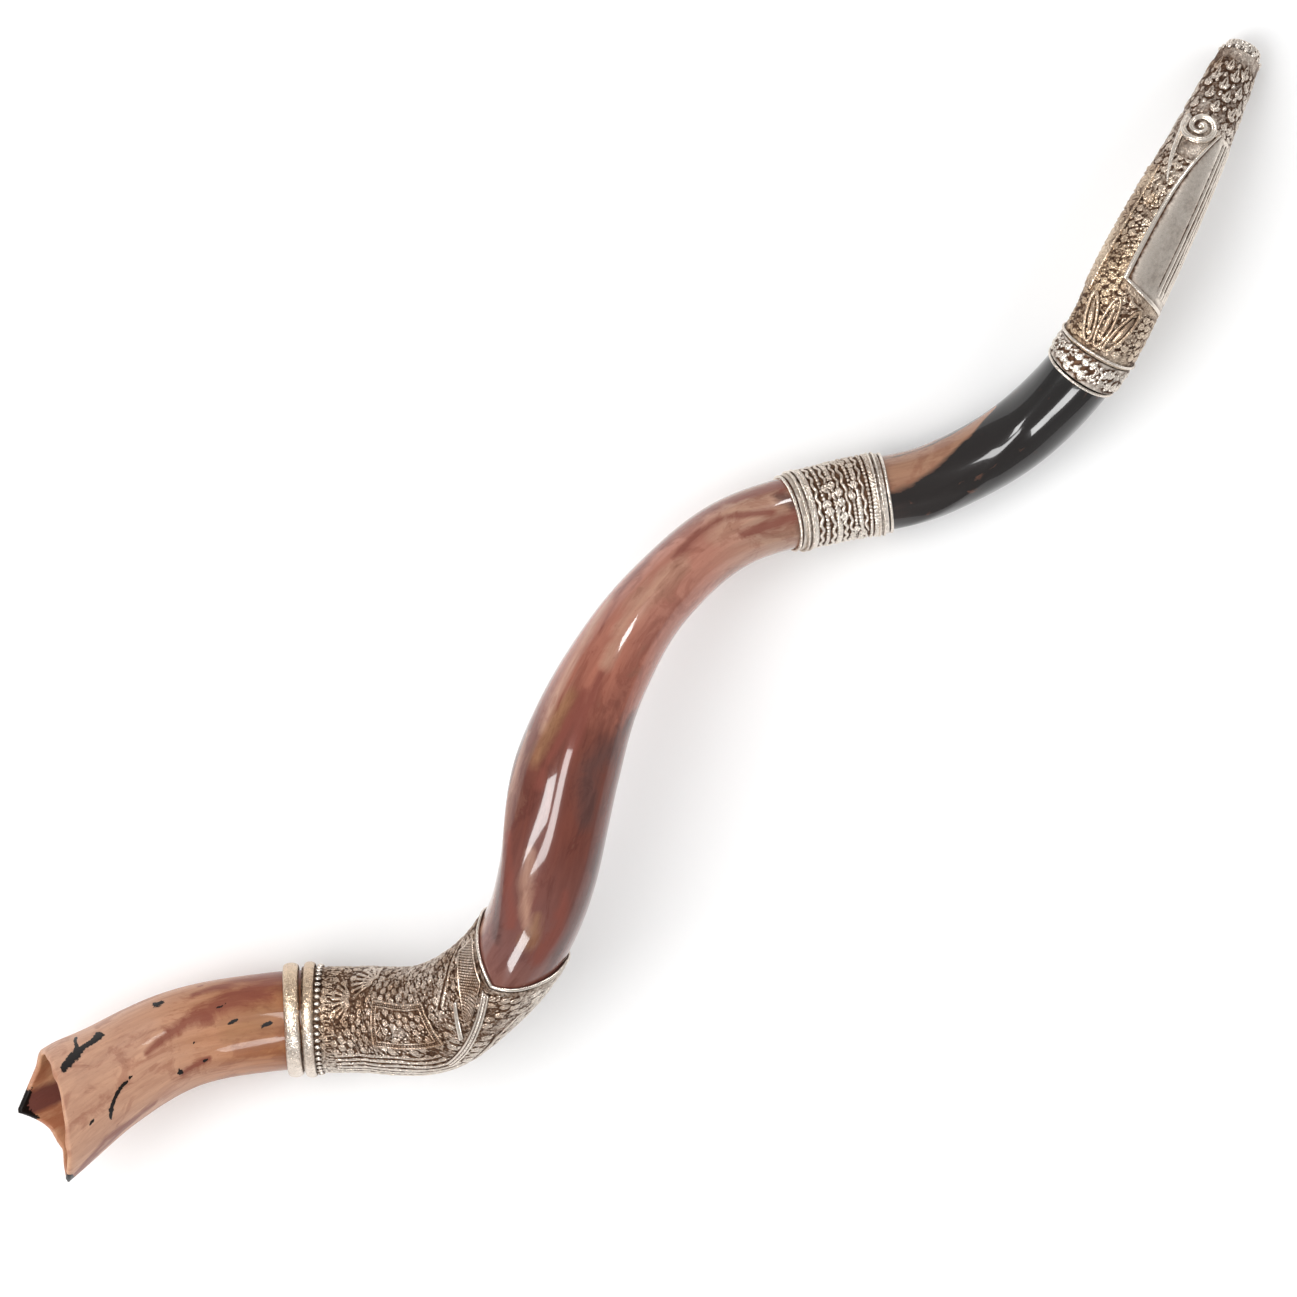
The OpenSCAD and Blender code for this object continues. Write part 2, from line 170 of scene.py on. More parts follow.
SPANS = np.linalg.norm(np.diff(course(np.linspace(0, LAST, 20 * LAST + 1))[0][:, :3], axis=0), axis=1)
LENGTHS = np.concatenate([[0], np.cumsum(SPANS)])


def length_to(u):
    """Length in mm along the middle line from the bell to station u."""
    return np.interp(u, np.linspace(0, LAST, len(LENGTHS)), LENGTHS)


def edge_at(edge, a):
    """Stations of an edge at the angles a. The edge is a function of the angle, or one station all round."""
    return edge(a) if callable(edge) else np.full(np.shape(a), float(edge))


# ---------------------------------------------------------------------------------------------
# Chased work: raised lines, leaves and beads drawn on an unrolled sheet
# ---------------------------------------------------------------------------------------------
class Chasing:
    """x runs along the horn and y round it, both in mm. A closed sheet meets itself round the horn."""

    def __init__(self, length, width, step, closed=True, start=0.0):
        self.nx = max(2, round(length / step))
        self.ny = max(2, round(width / step))
        self.length, self.width = length, width
        self.dx, self.dy = length / self.nx, width / self.ny
        self.closed = closed
        self.start = start
        self.rise = np.zeros((self.nx + 1, self.ny + 1))

    def spot(self, u, a):
        """x and y of a station and an angle, on a sheet that goes round the horn."""
        return length_to(u) - self.start, (a % 360) / 360 * self.width

    def frame(self, inset):
        """Corners of a line at an even inset from the sheet's border."""
        x, y = self.length - inset, self.width - inset
        return [(inset, inset), (x, inset), (x, y), (inset, y), (inset, inset)]

    def stamp(self, x, y, reach, shape, cut=False):
        i0, i1 = int((x - reach) / self.dx), int((x + reach) / self.dx) + 1
        j0, j1 = math.floor((y - reach) / self.dy), math.ceil((y + reach) / self.dy)
        i = np.arange(max(0, i0), min(self.nx, i1) + 1)
        j = np.arange(j0, j1 + 1)
        if not self.closed:
            j = j[(j >= 0) & (j <= self.ny)]
        if len(i) == 0 or len(j) == 0:
            return
        away = np.hypot((i * self.dx - x)[:, None], (j * self.dy - y)[None, :])
        spots = np.ix_(i, j % self.ny if self.closed else j)
        keep = np.minimum if cut else np.maximum
        self.rise[spots] = keep(self.rise[spots], shape(away))

    def dome(self, x, y, r, h):
        self.stamp(x, y, r, lambda d: h * np.sqrt(np.maximum(0, 1 - (d / r) ** 2)))

    def groove(self, points, r, depth):
        def sink(d):
            return np.where(d < r, -depth * np.sqrt(np.maximum(0, 1 - d / r)), 9)

        for x, y in walk(points, self.dx * 0.8):
            self.stamp(x, y, r, sink, cut=True)

    def ridge(self, points, r, h, taper=0.0):
        spots = walk(points, self.dx * 0.8)
        n = max(1, len(spots) - 1)
        for k, (x, y) in enumerate(spots):
            thin = 1 - taper * k / n
            self.dome(x, y, max(r * thin, self.dx), h * (0.5 + 0.5 * thin))

    def curl(self, x, y, size, start, turns, r, h, hand=1):
        """A scroll that winds inwards from its stem and ends in a bud."""
        steps = int(20 * turns)
        line = []
        for k in range(steps + 1):
            t = k / steps
            w = math.radians(start) + hand * 2 * math.pi * turns * t
            line.append((x + size * (1 - 0.78 * t) * math.cos(w), y + size * (1 - 0.78 * t) * math.sin(w)))
        self.ridge(line, r, h)
        self.dome(line[-1][0], line[-1][1], r * 1.5, h * 1.25)

    def leaf(self, x, y, heading, length, width, h, veined=True):
        dx, dy = length * math.cos(math.radians(heading)), length * math.sin(math.radians(heading))
        spots = 14
        for k in range(spots + 1):
            t = k / spots
            r = width * math.sin(math.pi * min(1, 0.08 + 0.92 * t)) ** 0.8
            self.dome(x + dx * t, y + dy * t, max(r, self.dx), h * (0.55 + 0.45 * math.sin(math.pi * t)))
        if veined:
            vein = [(x + 0.1 * dx, y + 0.1 * dy), (x + 0.85 * dx, y + 0.85 * dy)]
            self.groove(vein, self.dx * 1.1, -h * 0.25)

    def flower(self, x, y, r, petals, h):
        for k in range(petals):
            w = 2 * math.pi * k / petals
            self.dome(x + 0.62 * r * math.cos(w), y + 0.62 * r * math.sin(w), r * 0.42, h * 0.8)
        self.dome(x, y, r * 0.36, h * 1.2)

    def fan(self, x, y, heading, r, spread, ribs, h):
        """A shell: ribs that open from one point, tied by arcs."""
        for k in range(ribs):
            w = math.radians(heading + spread * (k / (ribs - 1) - 0.5))
            self.ridge([(x + 0.25 * r * math.cos(w), y + 0.25 * r * math.sin(w)),
                        (x + r * math.cos(w), y + r * math.sin(w))], 0.9, h)
            self.dome(x + r * 1.08 * math.cos(w), y + r * 1.08 * math.sin(w), 1.3, h * 1.2)
        for share in (0.22, 0.62):
            arc = []
            for k in range(13):
                w = math.radians(heading + spread * (k / 12 - 0.5))
                arc.append((x + share * r * math.cos(w), y + share * r * math.sin(w)))
            self.ridge(arc, 0.8, h * 0.9)

    def beads(self, points, pitch, r, h):
        for x, y in walk(points, pitch):
            self.dome(x, y, r, h)

    def hoop(self, x, r, h, wave=0.0, waves=0):
        """A line all the way round."""
        steps = 120
        self.ridge([(x + wave * math.sin(2 * math.pi * waves * k / steps), self.width * k / steps)
                    for k in range(steps)], r, h)

    def smooth_over(self, x0, x1, y0, y1, edge=2.0):
        """Planish a patch flat, as the ground of a plate that lies on it."""
        x = np.arange(self.nx + 1) * self.dx
        y = np.arange(self.ny + 1) * self.dy
        across = np.clip(np.minimum(x - x0, x1 - x) / edge, 0, 1)
        middle = (y0 + y1) / 2
        off = y - middle
        if self.closed:
            off = (off + self.width / 2) % self.width - self.width / 2
        round_it = np.clip(((y1 - y0) / 2 - np.abs(off)) / edge, 0, 1)
        self.rise *= 1 - across[:, None] * round_it[None, :]

    def rope(self, x, r, h, pitch):
        """A twisted line all the way round: short slanted ridges side by side."""
        count = round(self.width / pitch)
        for k in range(count):
            y = self.width * k / count
            self.ridge([(x - r, y), (x + r, y + 0.9 * pitch)], pitch * 0.42, h)

    def flatten(self, inside):
        """Planish the spots where inside(u, a) is true."""
        x = np.arange(self.nx + 1) * self.dx + self.start
        u = np.interp(x, LENGTHS, np.linspace(0, LAST, len(LENGTHS)))
        a = np.linspace(0, 360, self.ny + 1)
        self.rise *= 1.0 - inside(u[:, None], a[None, :])

    def close(self):
        if self.closed:
            self.rise[:, -1] = self.rise[:, 0]
        return self.rise

    def hollows(self, reach):
        """Where the ground lies deep beside raised work, from 0 to 1."""
        rise = self.close()
        blurred = rise
        for _ in range(max(1, round((reach / self.dx) ** 2 * 1.5))):
            ring = blurred[:, :-1] if self.closed else blurred
            sideways = ring + np.roll(ring, 1, 1) + np.roll(ring, -1, 1)
            if self.closed:
                sideways = np.hstack([sideways, sideways[:, :1]])
            padded = np.vstack([sideways[:1], sideways, sideways[-1:]])
            blurred = (padded[:-2] + padded[1:-1] + padded[2:]) / 9
        return np.clip((blurred - rise) / 0.3, -1, 1)


def sheet_round(start, end, radius, step):
    """A closed sheet for a sleeve between two stations, unrolled at its mean radius in mm."""
    return Chasing(length_to(end) - length_to(start), 2 * math.pi * radius, step, start=length_to(start))


def walk(points, step):
    """Spots at even steps along a line of points."""
    line = np.array(points, float)
    lengths = np.concatenate([[0], np.cumsum(np.linalg.norm(np.diff(line, axis=0), axis=1))])
    count = max(1, round(lengths[-1] / step))
    at = np.linspace(0, lengths[-1], count + 1)
    return np.column_stack([np.interp(at, lengths, line[:, 0]), np.interp(at, lengths, line[:, 1])])


def grid_piece(name, points, material, masks=None, vectors=None):
    """A smooth skin whose grid corners are moved to points; corners that meet are joined."""
    nx, ny = points.shape[0] - 1, points.shape[1] - 1
    bm = bmesh.new()
    bmesh.ops.create_grid(bm, x_segments=nx, y_segments=ny, size=0.5)
    mesh = bpy.data.meshes.new(name)
    bm.to_mesh(mesh)
    flat = np.zeros(len(mesh.vertices) * 3)
    mesh.vertices.foreach_get("co", flat)
    flat = flat.reshape(-1, 3)
    i = np.rint((flat[:, 0] + 0.5) * nx).astype(int)
    j = np.rint((flat[:, 1] + 0.5) * ny).astype(int)
    mesh.vertices.foreach_set("co", np.ascontiguousarray(points[i, j]).ravel())
    for key, values in (masks or {}).items():
        values = np.broadcast_to(values, points.shape[:2])
        layer = mesh.attributes.new(key, "FLOAT", "POINT")
        layer.data.foreach_set("value", np.ascontiguousarray(values[i, j], np.float32))
    for key, values in (vectors or {}).items():
        layer = mesh.attributes.new(key, "FLOAT_VECTOR", "POINT")
        layer.data.foreach_set("vector", np.ascontiguousarray(values[i, j], np.float32).ravel())
    bm.clear()
    bm.from_mesh(mesh)
    bmesh.ops.remove_doubles(bm, verts=bm.verts, dist=2e-6)
    bmesh.ops.dissolve_degenerate(bm, dist=1e-7, edges=bm.edges)
    bmesh.ops.recalc_face_normals(bm, faces=bm.faces)
    bm.to_mesh(mesh)
    bm.free()
    mesh.polygons.foreach_set("use_smooth", [True] * len(mesh.polygons))
    return finish_piece(name, mesh, material)


def finish_piece(name, mesh, material):
    piece = bpy.data.objects.new(name, mesh)
    bpy.context.scene.collection.objects.link(piece)
    mesh.materials.append(material)
    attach(piece, "root")
    return piece


def wear_masks(chase, rows, reach, edge=0.0):
    """Hollow and worn masks of a sheet's outside. The rest of the rows, its inside, have neither."""
    hollow = np.zeros((rows, chase.ny + 1))
    worn = np.zeros_like(hollow)
    hollow[: chase.nx + 1] = chase.hollows(reach) + edge
    worn[: chase.nx + 1] = np.clip(chase.rise / 0.7, 0, 1)
    return {"hollow": hollow, "worn": worn}


def sleeve_piece(name, start, end, chase, material, base=SLEEVE_OUT, masks=None, roll=0.0):
    """A tube of sheet metal round the horn: its outside carries the chased work, its inside is plain."""
    rise = chase.close()
    inside = 24
    f = np.concatenate([np.linspace(0, 1, chase.nx + 1), [1, 1], np.linspace(1, 0, inside + 1), [0, 0]])
    lip = np.full((1, chase.ny + 1), SLEEVE_IN + 0.1)
    h = np.vstack([
        base + rise,
        np.full((1, chase.ny + 1), (base + SLEEVE_IN) / 2 + 0.2),
        lip,
        np.full((inside + 1, chase.ny + 1), SLEEVE_IN),
        lip,
        base + rise[:1],
    ])
    edge = np.minimum(np.arange(chase.nx + 1), chase.nx - np.arange(chase.nx + 1)) * chase.dx
    h[: chase.nx + 1] += roll * np.exp(-((edge - 0.8) / 0.7) ** 2)[:, None]
    h[-1] = h[0]
    a = np.linspace(0, 360, chase.ny + 1)
    first, final = edge_at(start, a), edge_at(end, a)
    u = first[None, :] + (final - first)[None, :] * f[:, None]
    layers = wear_masks(chase, len(h), 1.6)
    for key, make in (masks or {}).items():
        layers[key] = make(u, a[None, :] + 0 * u)
    return grid_piece(name, skin(u, a[None, :], h), material, layers)


def plate_piece(name, spot, chase, material, base=PLATE_OUT, crown=0.0):
    """A soldered plate: spot(s, t) says where its corners lie, with s along the horn and t round it."""
    s = np.linspace(0, 1, chase.nx + 1)
    t = np.linspace(0, 1, chase.ny + 1)
    border = np.minimum.outer(np.minimum(s, 1 - s) * chase.length, np.minimum(t, 1 - t) * chase.width)
    round_off = np.sqrt(np.clip(border / 0.7, 0, 1))
    top = PLATE_IN + (base - PLATE_IN + chase.rise) * round_off + crown * np.minimum(border / 4, 1)
    h = np.vstack([top, np.full_like(top, PLATE_IN)[1:]])
    h[:, 0] = PLATE_IN
    h[:, -1] = PLATE_IN
    h[0] = PLATE_IN
    u, a = spot(*np.meshgrid(np.concatenate([s, s[::-1][1:]]), t, indexing="ij"))
    return grid_piece(name, skin(u, a, h), material, wear_masks(chase, len(h), 1.4, 0.8 * (1 - round_off)))


def tube_points(path, out, r, sides, closed, spread=1.0):
    """Grid corners of a round wire along a path of points. Open wires close to a point at each end."""
    ahead = np.roll(path, -1, 0) - np.roll(path, 1, 0)
    if not closed:
        ahead[0] = path[1] - path[0]
        ahead[-1] = path[-1] - path[-2]
    side = unit(np.cross(ahead, out))
    out = unit(np.cross(side, ahead))
    r = np.broadcast_to(np.asarray(r, float), (len(path),)).copy()
    if not closed:
        reach = np.concatenate([[0], np.cumsum(np.linalg.norm(np.diff(path, axis=0), axis=1))])
        tip = np.minimum(reach, reach[-1] - reach)
        r = r * np.sqrt(np.clip(tip / np.maximum(r, 1e-9), 0, 1))
    w = np.linspace(0, 2 * math.pi, sides + 1)
    points = path[None] + r[None, :, None] * (
        np.cos(w)[:, None, None] * out[None] + spread * np.sin(w)[:, None, None] * side[None])
    points[-1] = points[0]
    if closed:
        points = np.concatenate([points, points[:, :1]], axis=1)
    return points


def joined(name, parts):
    """Several pieces made into one object."""
    bm = bmesh.new()
    for part in parts:
        bm.from_mesh(part.data)
    mesh = parts[0].data
    bm.to_mesh(mesh)
    bm.free()
    for part in parts[1:]:
        bpy.data.objects.remove(part)
    parts[0].name = name
    return parts[0]


def out_at(u, a, h=0.0):
    return unit(skin(u, a, h + 1.0) - skin(u, a, h))


def skin_wire(name, u, a, h, r, material, sides=10, closed=False, masks=None, spread=1.0):
    """A round wire, r mm thick in its half, through stations and angles at the height h."""
    path = skin(u, a, h)
    points = tube_points(path, out_at(u, a, h), np.asarray(r) * MM, sides, closed, spread)
    w = np.linspace(0, 2 * math.pi, sides + 1)
    layers = {"hollow": np.repeat((0.75 * np.clip(-np.cos(w), 0, 1))[:, None], points.shape[1], 1),
              "worn": np.repeat(np.clip(np.cos(w), 0, 1)[:, None], points.shape[1], 1)}
    layers.update(masks or {})
    return grid_piece(name, points, material, layers)


def ring_wire(name, edge, h, r, material, sides=12, steps=240, file_marks=0, masks=None, spread=1.0):
    """A wire all the way round the horn. File marks notch it evenly."""
    a = np.linspace(0, 360, steps, endpoint=False)
    notch = np.full(steps, r)
    if file_marks:
        notch = r * (0.82 + 0.18 * np.abs(np.cos(np.radians(a) * file_marks / 2)) ** 0.6)
    return skin_wire(name, edge_at(edge, a), a, h, notch, material, sides, True, masks, spread)


def rope_ring(name, u, h, r, turns, material):
    """Two strands twisted round each other."""
    steps = turns * 12
    a = np.linspace(0, 360, steps, endpoint=False)
    path = skin(u, a, h)
    out = out_at(u, a, h)
    side = unit(np.cross(np.roll(path, -1, 0) - np.roll(path, 1, 0), out))
    strands = []
    for k in range(2):
        w = np.radians(a) * turns + math.pi * k
        line = path + r * 0.5 * MM * (np.cos(w)[:, None] * out + np.sin(w)[:, None] * side)
        points = tube_points(line, out, r * 0.55 * MM, 8, True)
        far = np.linalg.norm(points - np.concatenate([path, path[:1]])[None], axis=2) / (r * MM)
        masks = {"hollow": np.clip(1.35 - 1.7 * far, 0, 1), "worn": np.clip(far * 1.6 - 0.6, 0, 1)}
        strands.append(grid_piece(f"{name}.{k}", points, material, masks))
    return joined(name, strands)


def stand(u, a):
    """Directions out from the horn, along it and across both, at a spot on it."""
    out = Vector(out_at(u, a))
    forward = Vector(axes(u)[0])
    return out, forward, out.cross(forward)


def bead_ring(name, spots, material, sides):
    """Cast drops; a spot holds the centre, its outward, forward and side directions and three radii in mm."""
    bm = bmesh.new()
    for centre, out, forward, side, radii in spots:
        turn = Matrix((forward * radii[0] * MM, side * radii[1] * MM, out * radii[2] * MM)).transposed()
        bmesh.ops.create_uvsphere(bm, u_segments=sides, v_segments=max(6, sides - 2), radius=1.0,
                                  matrix=Matrix.Translation(Vector(centre)) @ turn.to_4x4())
    bmesh.ops.recalc_face_normals(bm, faces=bm.faces)
    mesh = bpy.data.meshes.new(name)
    bm.to_mesh(mesh)
    bm.free()
    mesh.polygons.foreach_set("use_smooth", [True] * len(mesh.polygons))
    flat = np.zeros(len(mesh.vertices) * 3)
    mesh.vertices.foreach_get("co", flat)
    flat = flat.reshape(len(spots), -1, 3)
    low = np.concatenate([
        ((part - np.array(centre)) @ np.array(out)) / (radii[2] * MM)
        for part, (centre, out, _, _, radii) in zip(flat, spots)])
    for key, values in (("hollow", np.clip(0.35 - low, 0, 1)), ("worn", np.clip(low, 0, 1))):
        layer = mesh.attributes.new(key, "FLOAT", "POINT")
        layer.data.foreach_set("value", values.astype(np.float32))
    return finish_piece(name, mesh, material)


# ---------------------------------------------------------------------------------------------
# Materials
# ---------------------------------------------------------------------------------------------
def add(tree, kind, inputs=None, **settings):
    """A node with its settings; inputs are numbers, colours or other nodes' sockets."""
    made = tree.nodes.new("ShaderNode" + kind)
    for key, value in settings.items():
        setattr(made, key, value)
    for key, value in (inputs or {}).items():
        if isinstance(value, bpy.types.NodeSocket):
            tree.links.new(value, made.inputs[key])
        else:
            made.inputs[key].default_value = value
    return made


def calc(tree, operation, *values, clamp=False):
    return add(tree, "Math", dict(enumerate(values)), operation=operation, use_clamp=clamp).outputs[0]


def blend(tree, share, first, second, kind="MIX"):
    mixer = tree.nodes.new("ShaderNodeMix")
    mixer.data_type = "RGBA"
    mixer.blend_type = kind
    for key, value in ((0, share), (6, first), (7, second)):
        if isinstance(value, bpy.types.NodeSocket):
            tree.links.new(value, mixer.inputs[key])
        else:
            mixer.inputs[key].default_value = value
    return mixer.outputs[2]


def spread(tree, value, low, high, to_low=0.0, to_high=1.0):
    return add(tree, "MapRange", {0: value, 1: low, 2: high, 3: to_low, 4: to_high}).outputs[0]


def noise(tree, vector, scale, detail=3.0, rough=0.55, warp=0.0):
    return add(tree, "TexNoise", {"Vector": vector, "Scale": scale, "Detail": detail,
                                  "Roughness": rough, "Distortion": warp}).outputs["Fac"]


def attribute(tree, name, output="Fac"):
    return add(tree, "Attribute", attribute_name=name).outputs[output]


def ramp(tree, value, stops):
    made = add(tree, "ValToRGB", {"Fac": value})
    elements = made.color_ramp.elements
    elements[0].position, elements[0].color = stops[0][0], (*stops[0][1], 1)
    elements[1].position, elements[1].color = stops[-1][0], (*stops[-1][1], 1)
    for place, colour in stops[1:-1]:
        elements.new(place).color = (*colour, 1)
    return made.outputs["Color"]


def group(name, inputs, outputs):
    """A shader node group with plain number inputs; returns its tree, entry and exit."""
    tree = bpy.data.node_groups.new(name, "ShaderNodeTree")
    for key, kind, value in inputs:
        socket = tree.interface.new_socket(key, in_out="INPUT", socket_type="NodeSocket" + kind)
        if value is not None:
            socket.default_value = value
    for key, kind in outputs:
        tree.interface.new_socket(key, in_out="OUTPUT", socket_type="NodeSocket" + kind)
    return tree, tree.nodes.new("NodeGroupInput"), tree.nodes.new("NodeGroupOutput")


def use(tree, group_tree, inputs):
    made = tree.nodes.new("ShaderNodeGroup")
    made.node_tree = group_tree
    for key, value in inputs.items():
        if isinstance(value, bpy.types.NodeSocket):
            tree.links.new(value, made.inputs[key])
        else:
            made.inputs[key].default_value = value
    return made


def new_material(name):
    material = bpy.data.materials.new(name)
    material.use_nodes = True
    return material, material.node_tree, material.node_tree.nodes["Principled BSDF"]


def silver_group():
    """Silver that has darkened in its hollows and been rubbed bright on its heights."""
    tree, entry, leave = group(
        "old silver",
        [("Place", "Vector", None), ("Hollow", "Float", 0.0), ("Worn", "Float", 0.5),
         ("Gilding", "Float", 0.0), ("Tarnish and shade", "Float", 0.5), ("Matting", "Float", 0.5)],
        [("Color", "Color"), ("Roughness", "Float"), ("Height", "Float")])
    place = entry.outputs["Place"]
    clouds = noise(tree, place, 38.0, 4.0, 0.6)
    specks = noise(tree, place, 420.0, 3.0, 0.6)
    grain = noise(tree, place, 1500.0, 2.0, 0.6)
    strokes = noise(tree, place, 360.0, 1.0, 0.5, 0.9)
    strokes = calc(tree, "ABSOLUTE", calc(tree, "SUBTRACT", strokes, 0.5))
    strokes = spread(tree, strokes, 0.0, 0.085, 1.0, 0.0)
    # The tarnish input is an even film on most pieces; on the elbow and the middle band it is painted shade,
    # set by angle.
    film_and_shade = calc(tree, "MULTIPLY", entry.outputs["Tarnish and shade"], spread(tree, clouds, 0.32, 0.7))
    raised = calc(tree, "MULTIPLY", entry.outputs["Worn"], 0.75)
    deep = calc(tree, "MULTIPLY", entry.outputs["Hollow"], 1.1)
    dirt_and_shade = calc(tree, "ADD", deep, calc(tree, "SUBTRACT", film_and_shade, raised))
    ground = calc(tree, "MULTIPLY", calc(tree, "SUBTRACT", 0.6, strokes), entry.outputs["Matting"])
    dirt_and_shade = calc(tree, "MULTIPLY_ADD", ground, 0.7, dirt_and_shade)
    dirt_and_shade = calc(tree, "MULTIPLY_ADD", calc(tree, "SUBTRACT", specks, 0.5), 0.9, dirt_and_shade)
    dirt_and_shade = calc(tree, "MULTIPLY_ADD", calc(tree, "SUBTRACT", grain, 0.5), 0.35, dirt_and_shade, clamp=True)
    metal = blend(tree, entry.outputs["Gilding"], (0.88, 0.81, 0.73, 1), (0.80, 0.59, 0.37, 1))
    stain_and_shade = calc(tree, "MULTIPLY", spread(tree, clouds, 0.3, 0.7, 0.25, 1.0), entry.outputs["Tarnish and shade"])
    metal = blend(tree, stain_and_shade, metal, (0.42, 0.29, 0.20, 1))
    grime_and_shade = blend(tree, spread(tree, specks, 0.35, 0.65), (0.17, 0.095, 0.058, 1), (0.05, 0.026, 0.017, 1))
    tree.links.new(blend(tree, dirt_and_shade, metal, grime_and_shade), leave.inputs["Color"])
    rough = calc(tree, "ADD", spread(tree, dirt_and_shade, 0.0, 1.0, 0.2, 0.6), calc(tree, "MULTIPLY", specks, 0.12))
    tree.links.new(rough, leave.inputs["Roughness"])
    punch = add(tree, "TexVoronoi", {"Vector": place, "Scale": 1100.0}, feature="F1").outputs["Distance"]
    punch = calc(tree, "ADD", spread(tree, punch, 0.0, 0.5), calc(tree, "MULTIPLY", strokes, 1.6))
    height = calc(tree, "ADD", calc(tree, "MULTIPLY", punch, entry.outputs["Matting"]),
                  calc(tree, "MULTIPLY", specks, 0.6))
    tree.links.new(height, leave.inputs["Height"])
    return tree


def silver_material(name, tarnish_and_shade, matting, bump, gilding=0.0):
    """Old silver. Tarnish or gilding may be "painted", taken from the piece's own mask; that tarnish mask is
    painted shade on elbow and band.
    """
    material, tree, shader = new_material(name)
    made = use(tree, OLD_SILVER, {
        "Place": add(tree, "TexCoord").outputs["Object"], "Matting": matting,
        "Hollow": attribute(tree, "hollow"), "Worn": attribute(tree, "worn"),
        "Tarnish and shade": attribute(tree, "tarnish_and_shade") if tarnish_and_shade == "painted" else tarnish_and_shade,
        "Gilding": attribute(tree, "gilding") if gilding == "painted" else gilding})
    tree.links.new(made.outputs["Color"], shader.inputs["Base Color"])
    tree.links.new(made.outputs["Roughness"], shader.inputs["Roughness"])
    shader.inputs["Metallic"].default_value = 1.0
    relief = add(tree, "Bump", {"Strength": bump, "Distance": 0.0004, "Height": made.outputs["Height"]})
    tree.links.new(relief.outputs["Normal"], shader.inputs["Normal"])
    return material


HORN_COLOURS = [
    (0.0, (0.58, 0.34, 0.23)),
    (1.5, (0.56, 0.32, 0.21)),
    (2.4, (0.45, 0.22, 0.12)),
    (3.1, (0.35, 0.14, 0.055)),
    (6.0, (0.25, 0.10, 0.07)),
    (7.2, (0.18, 0.07, 0.058)),
    (8.5, (0.15, 0.035, 0.02)),
    (9.3, (0.17, 0.045, 0.026)),
    (9.9, (0.36, 0.125, 0.08)),
    (10.6, (0.41, 0.165, 0.115)),
    (11.4, (0.46, 0.20, 0.14)),
    (12.2, (0.44, 0.27, 0.19)),
    (12.7, (0.34, 0.18, 0.12)),
    (13.1, (0.05, 0.03, 0.025)),
    (13.6, (0.012, 0.008, 0.007)),
    (16.0, (0.006, 0.005, 0.0045)),
    (19.0, (0.006, 0.005, 0.0045)),
]


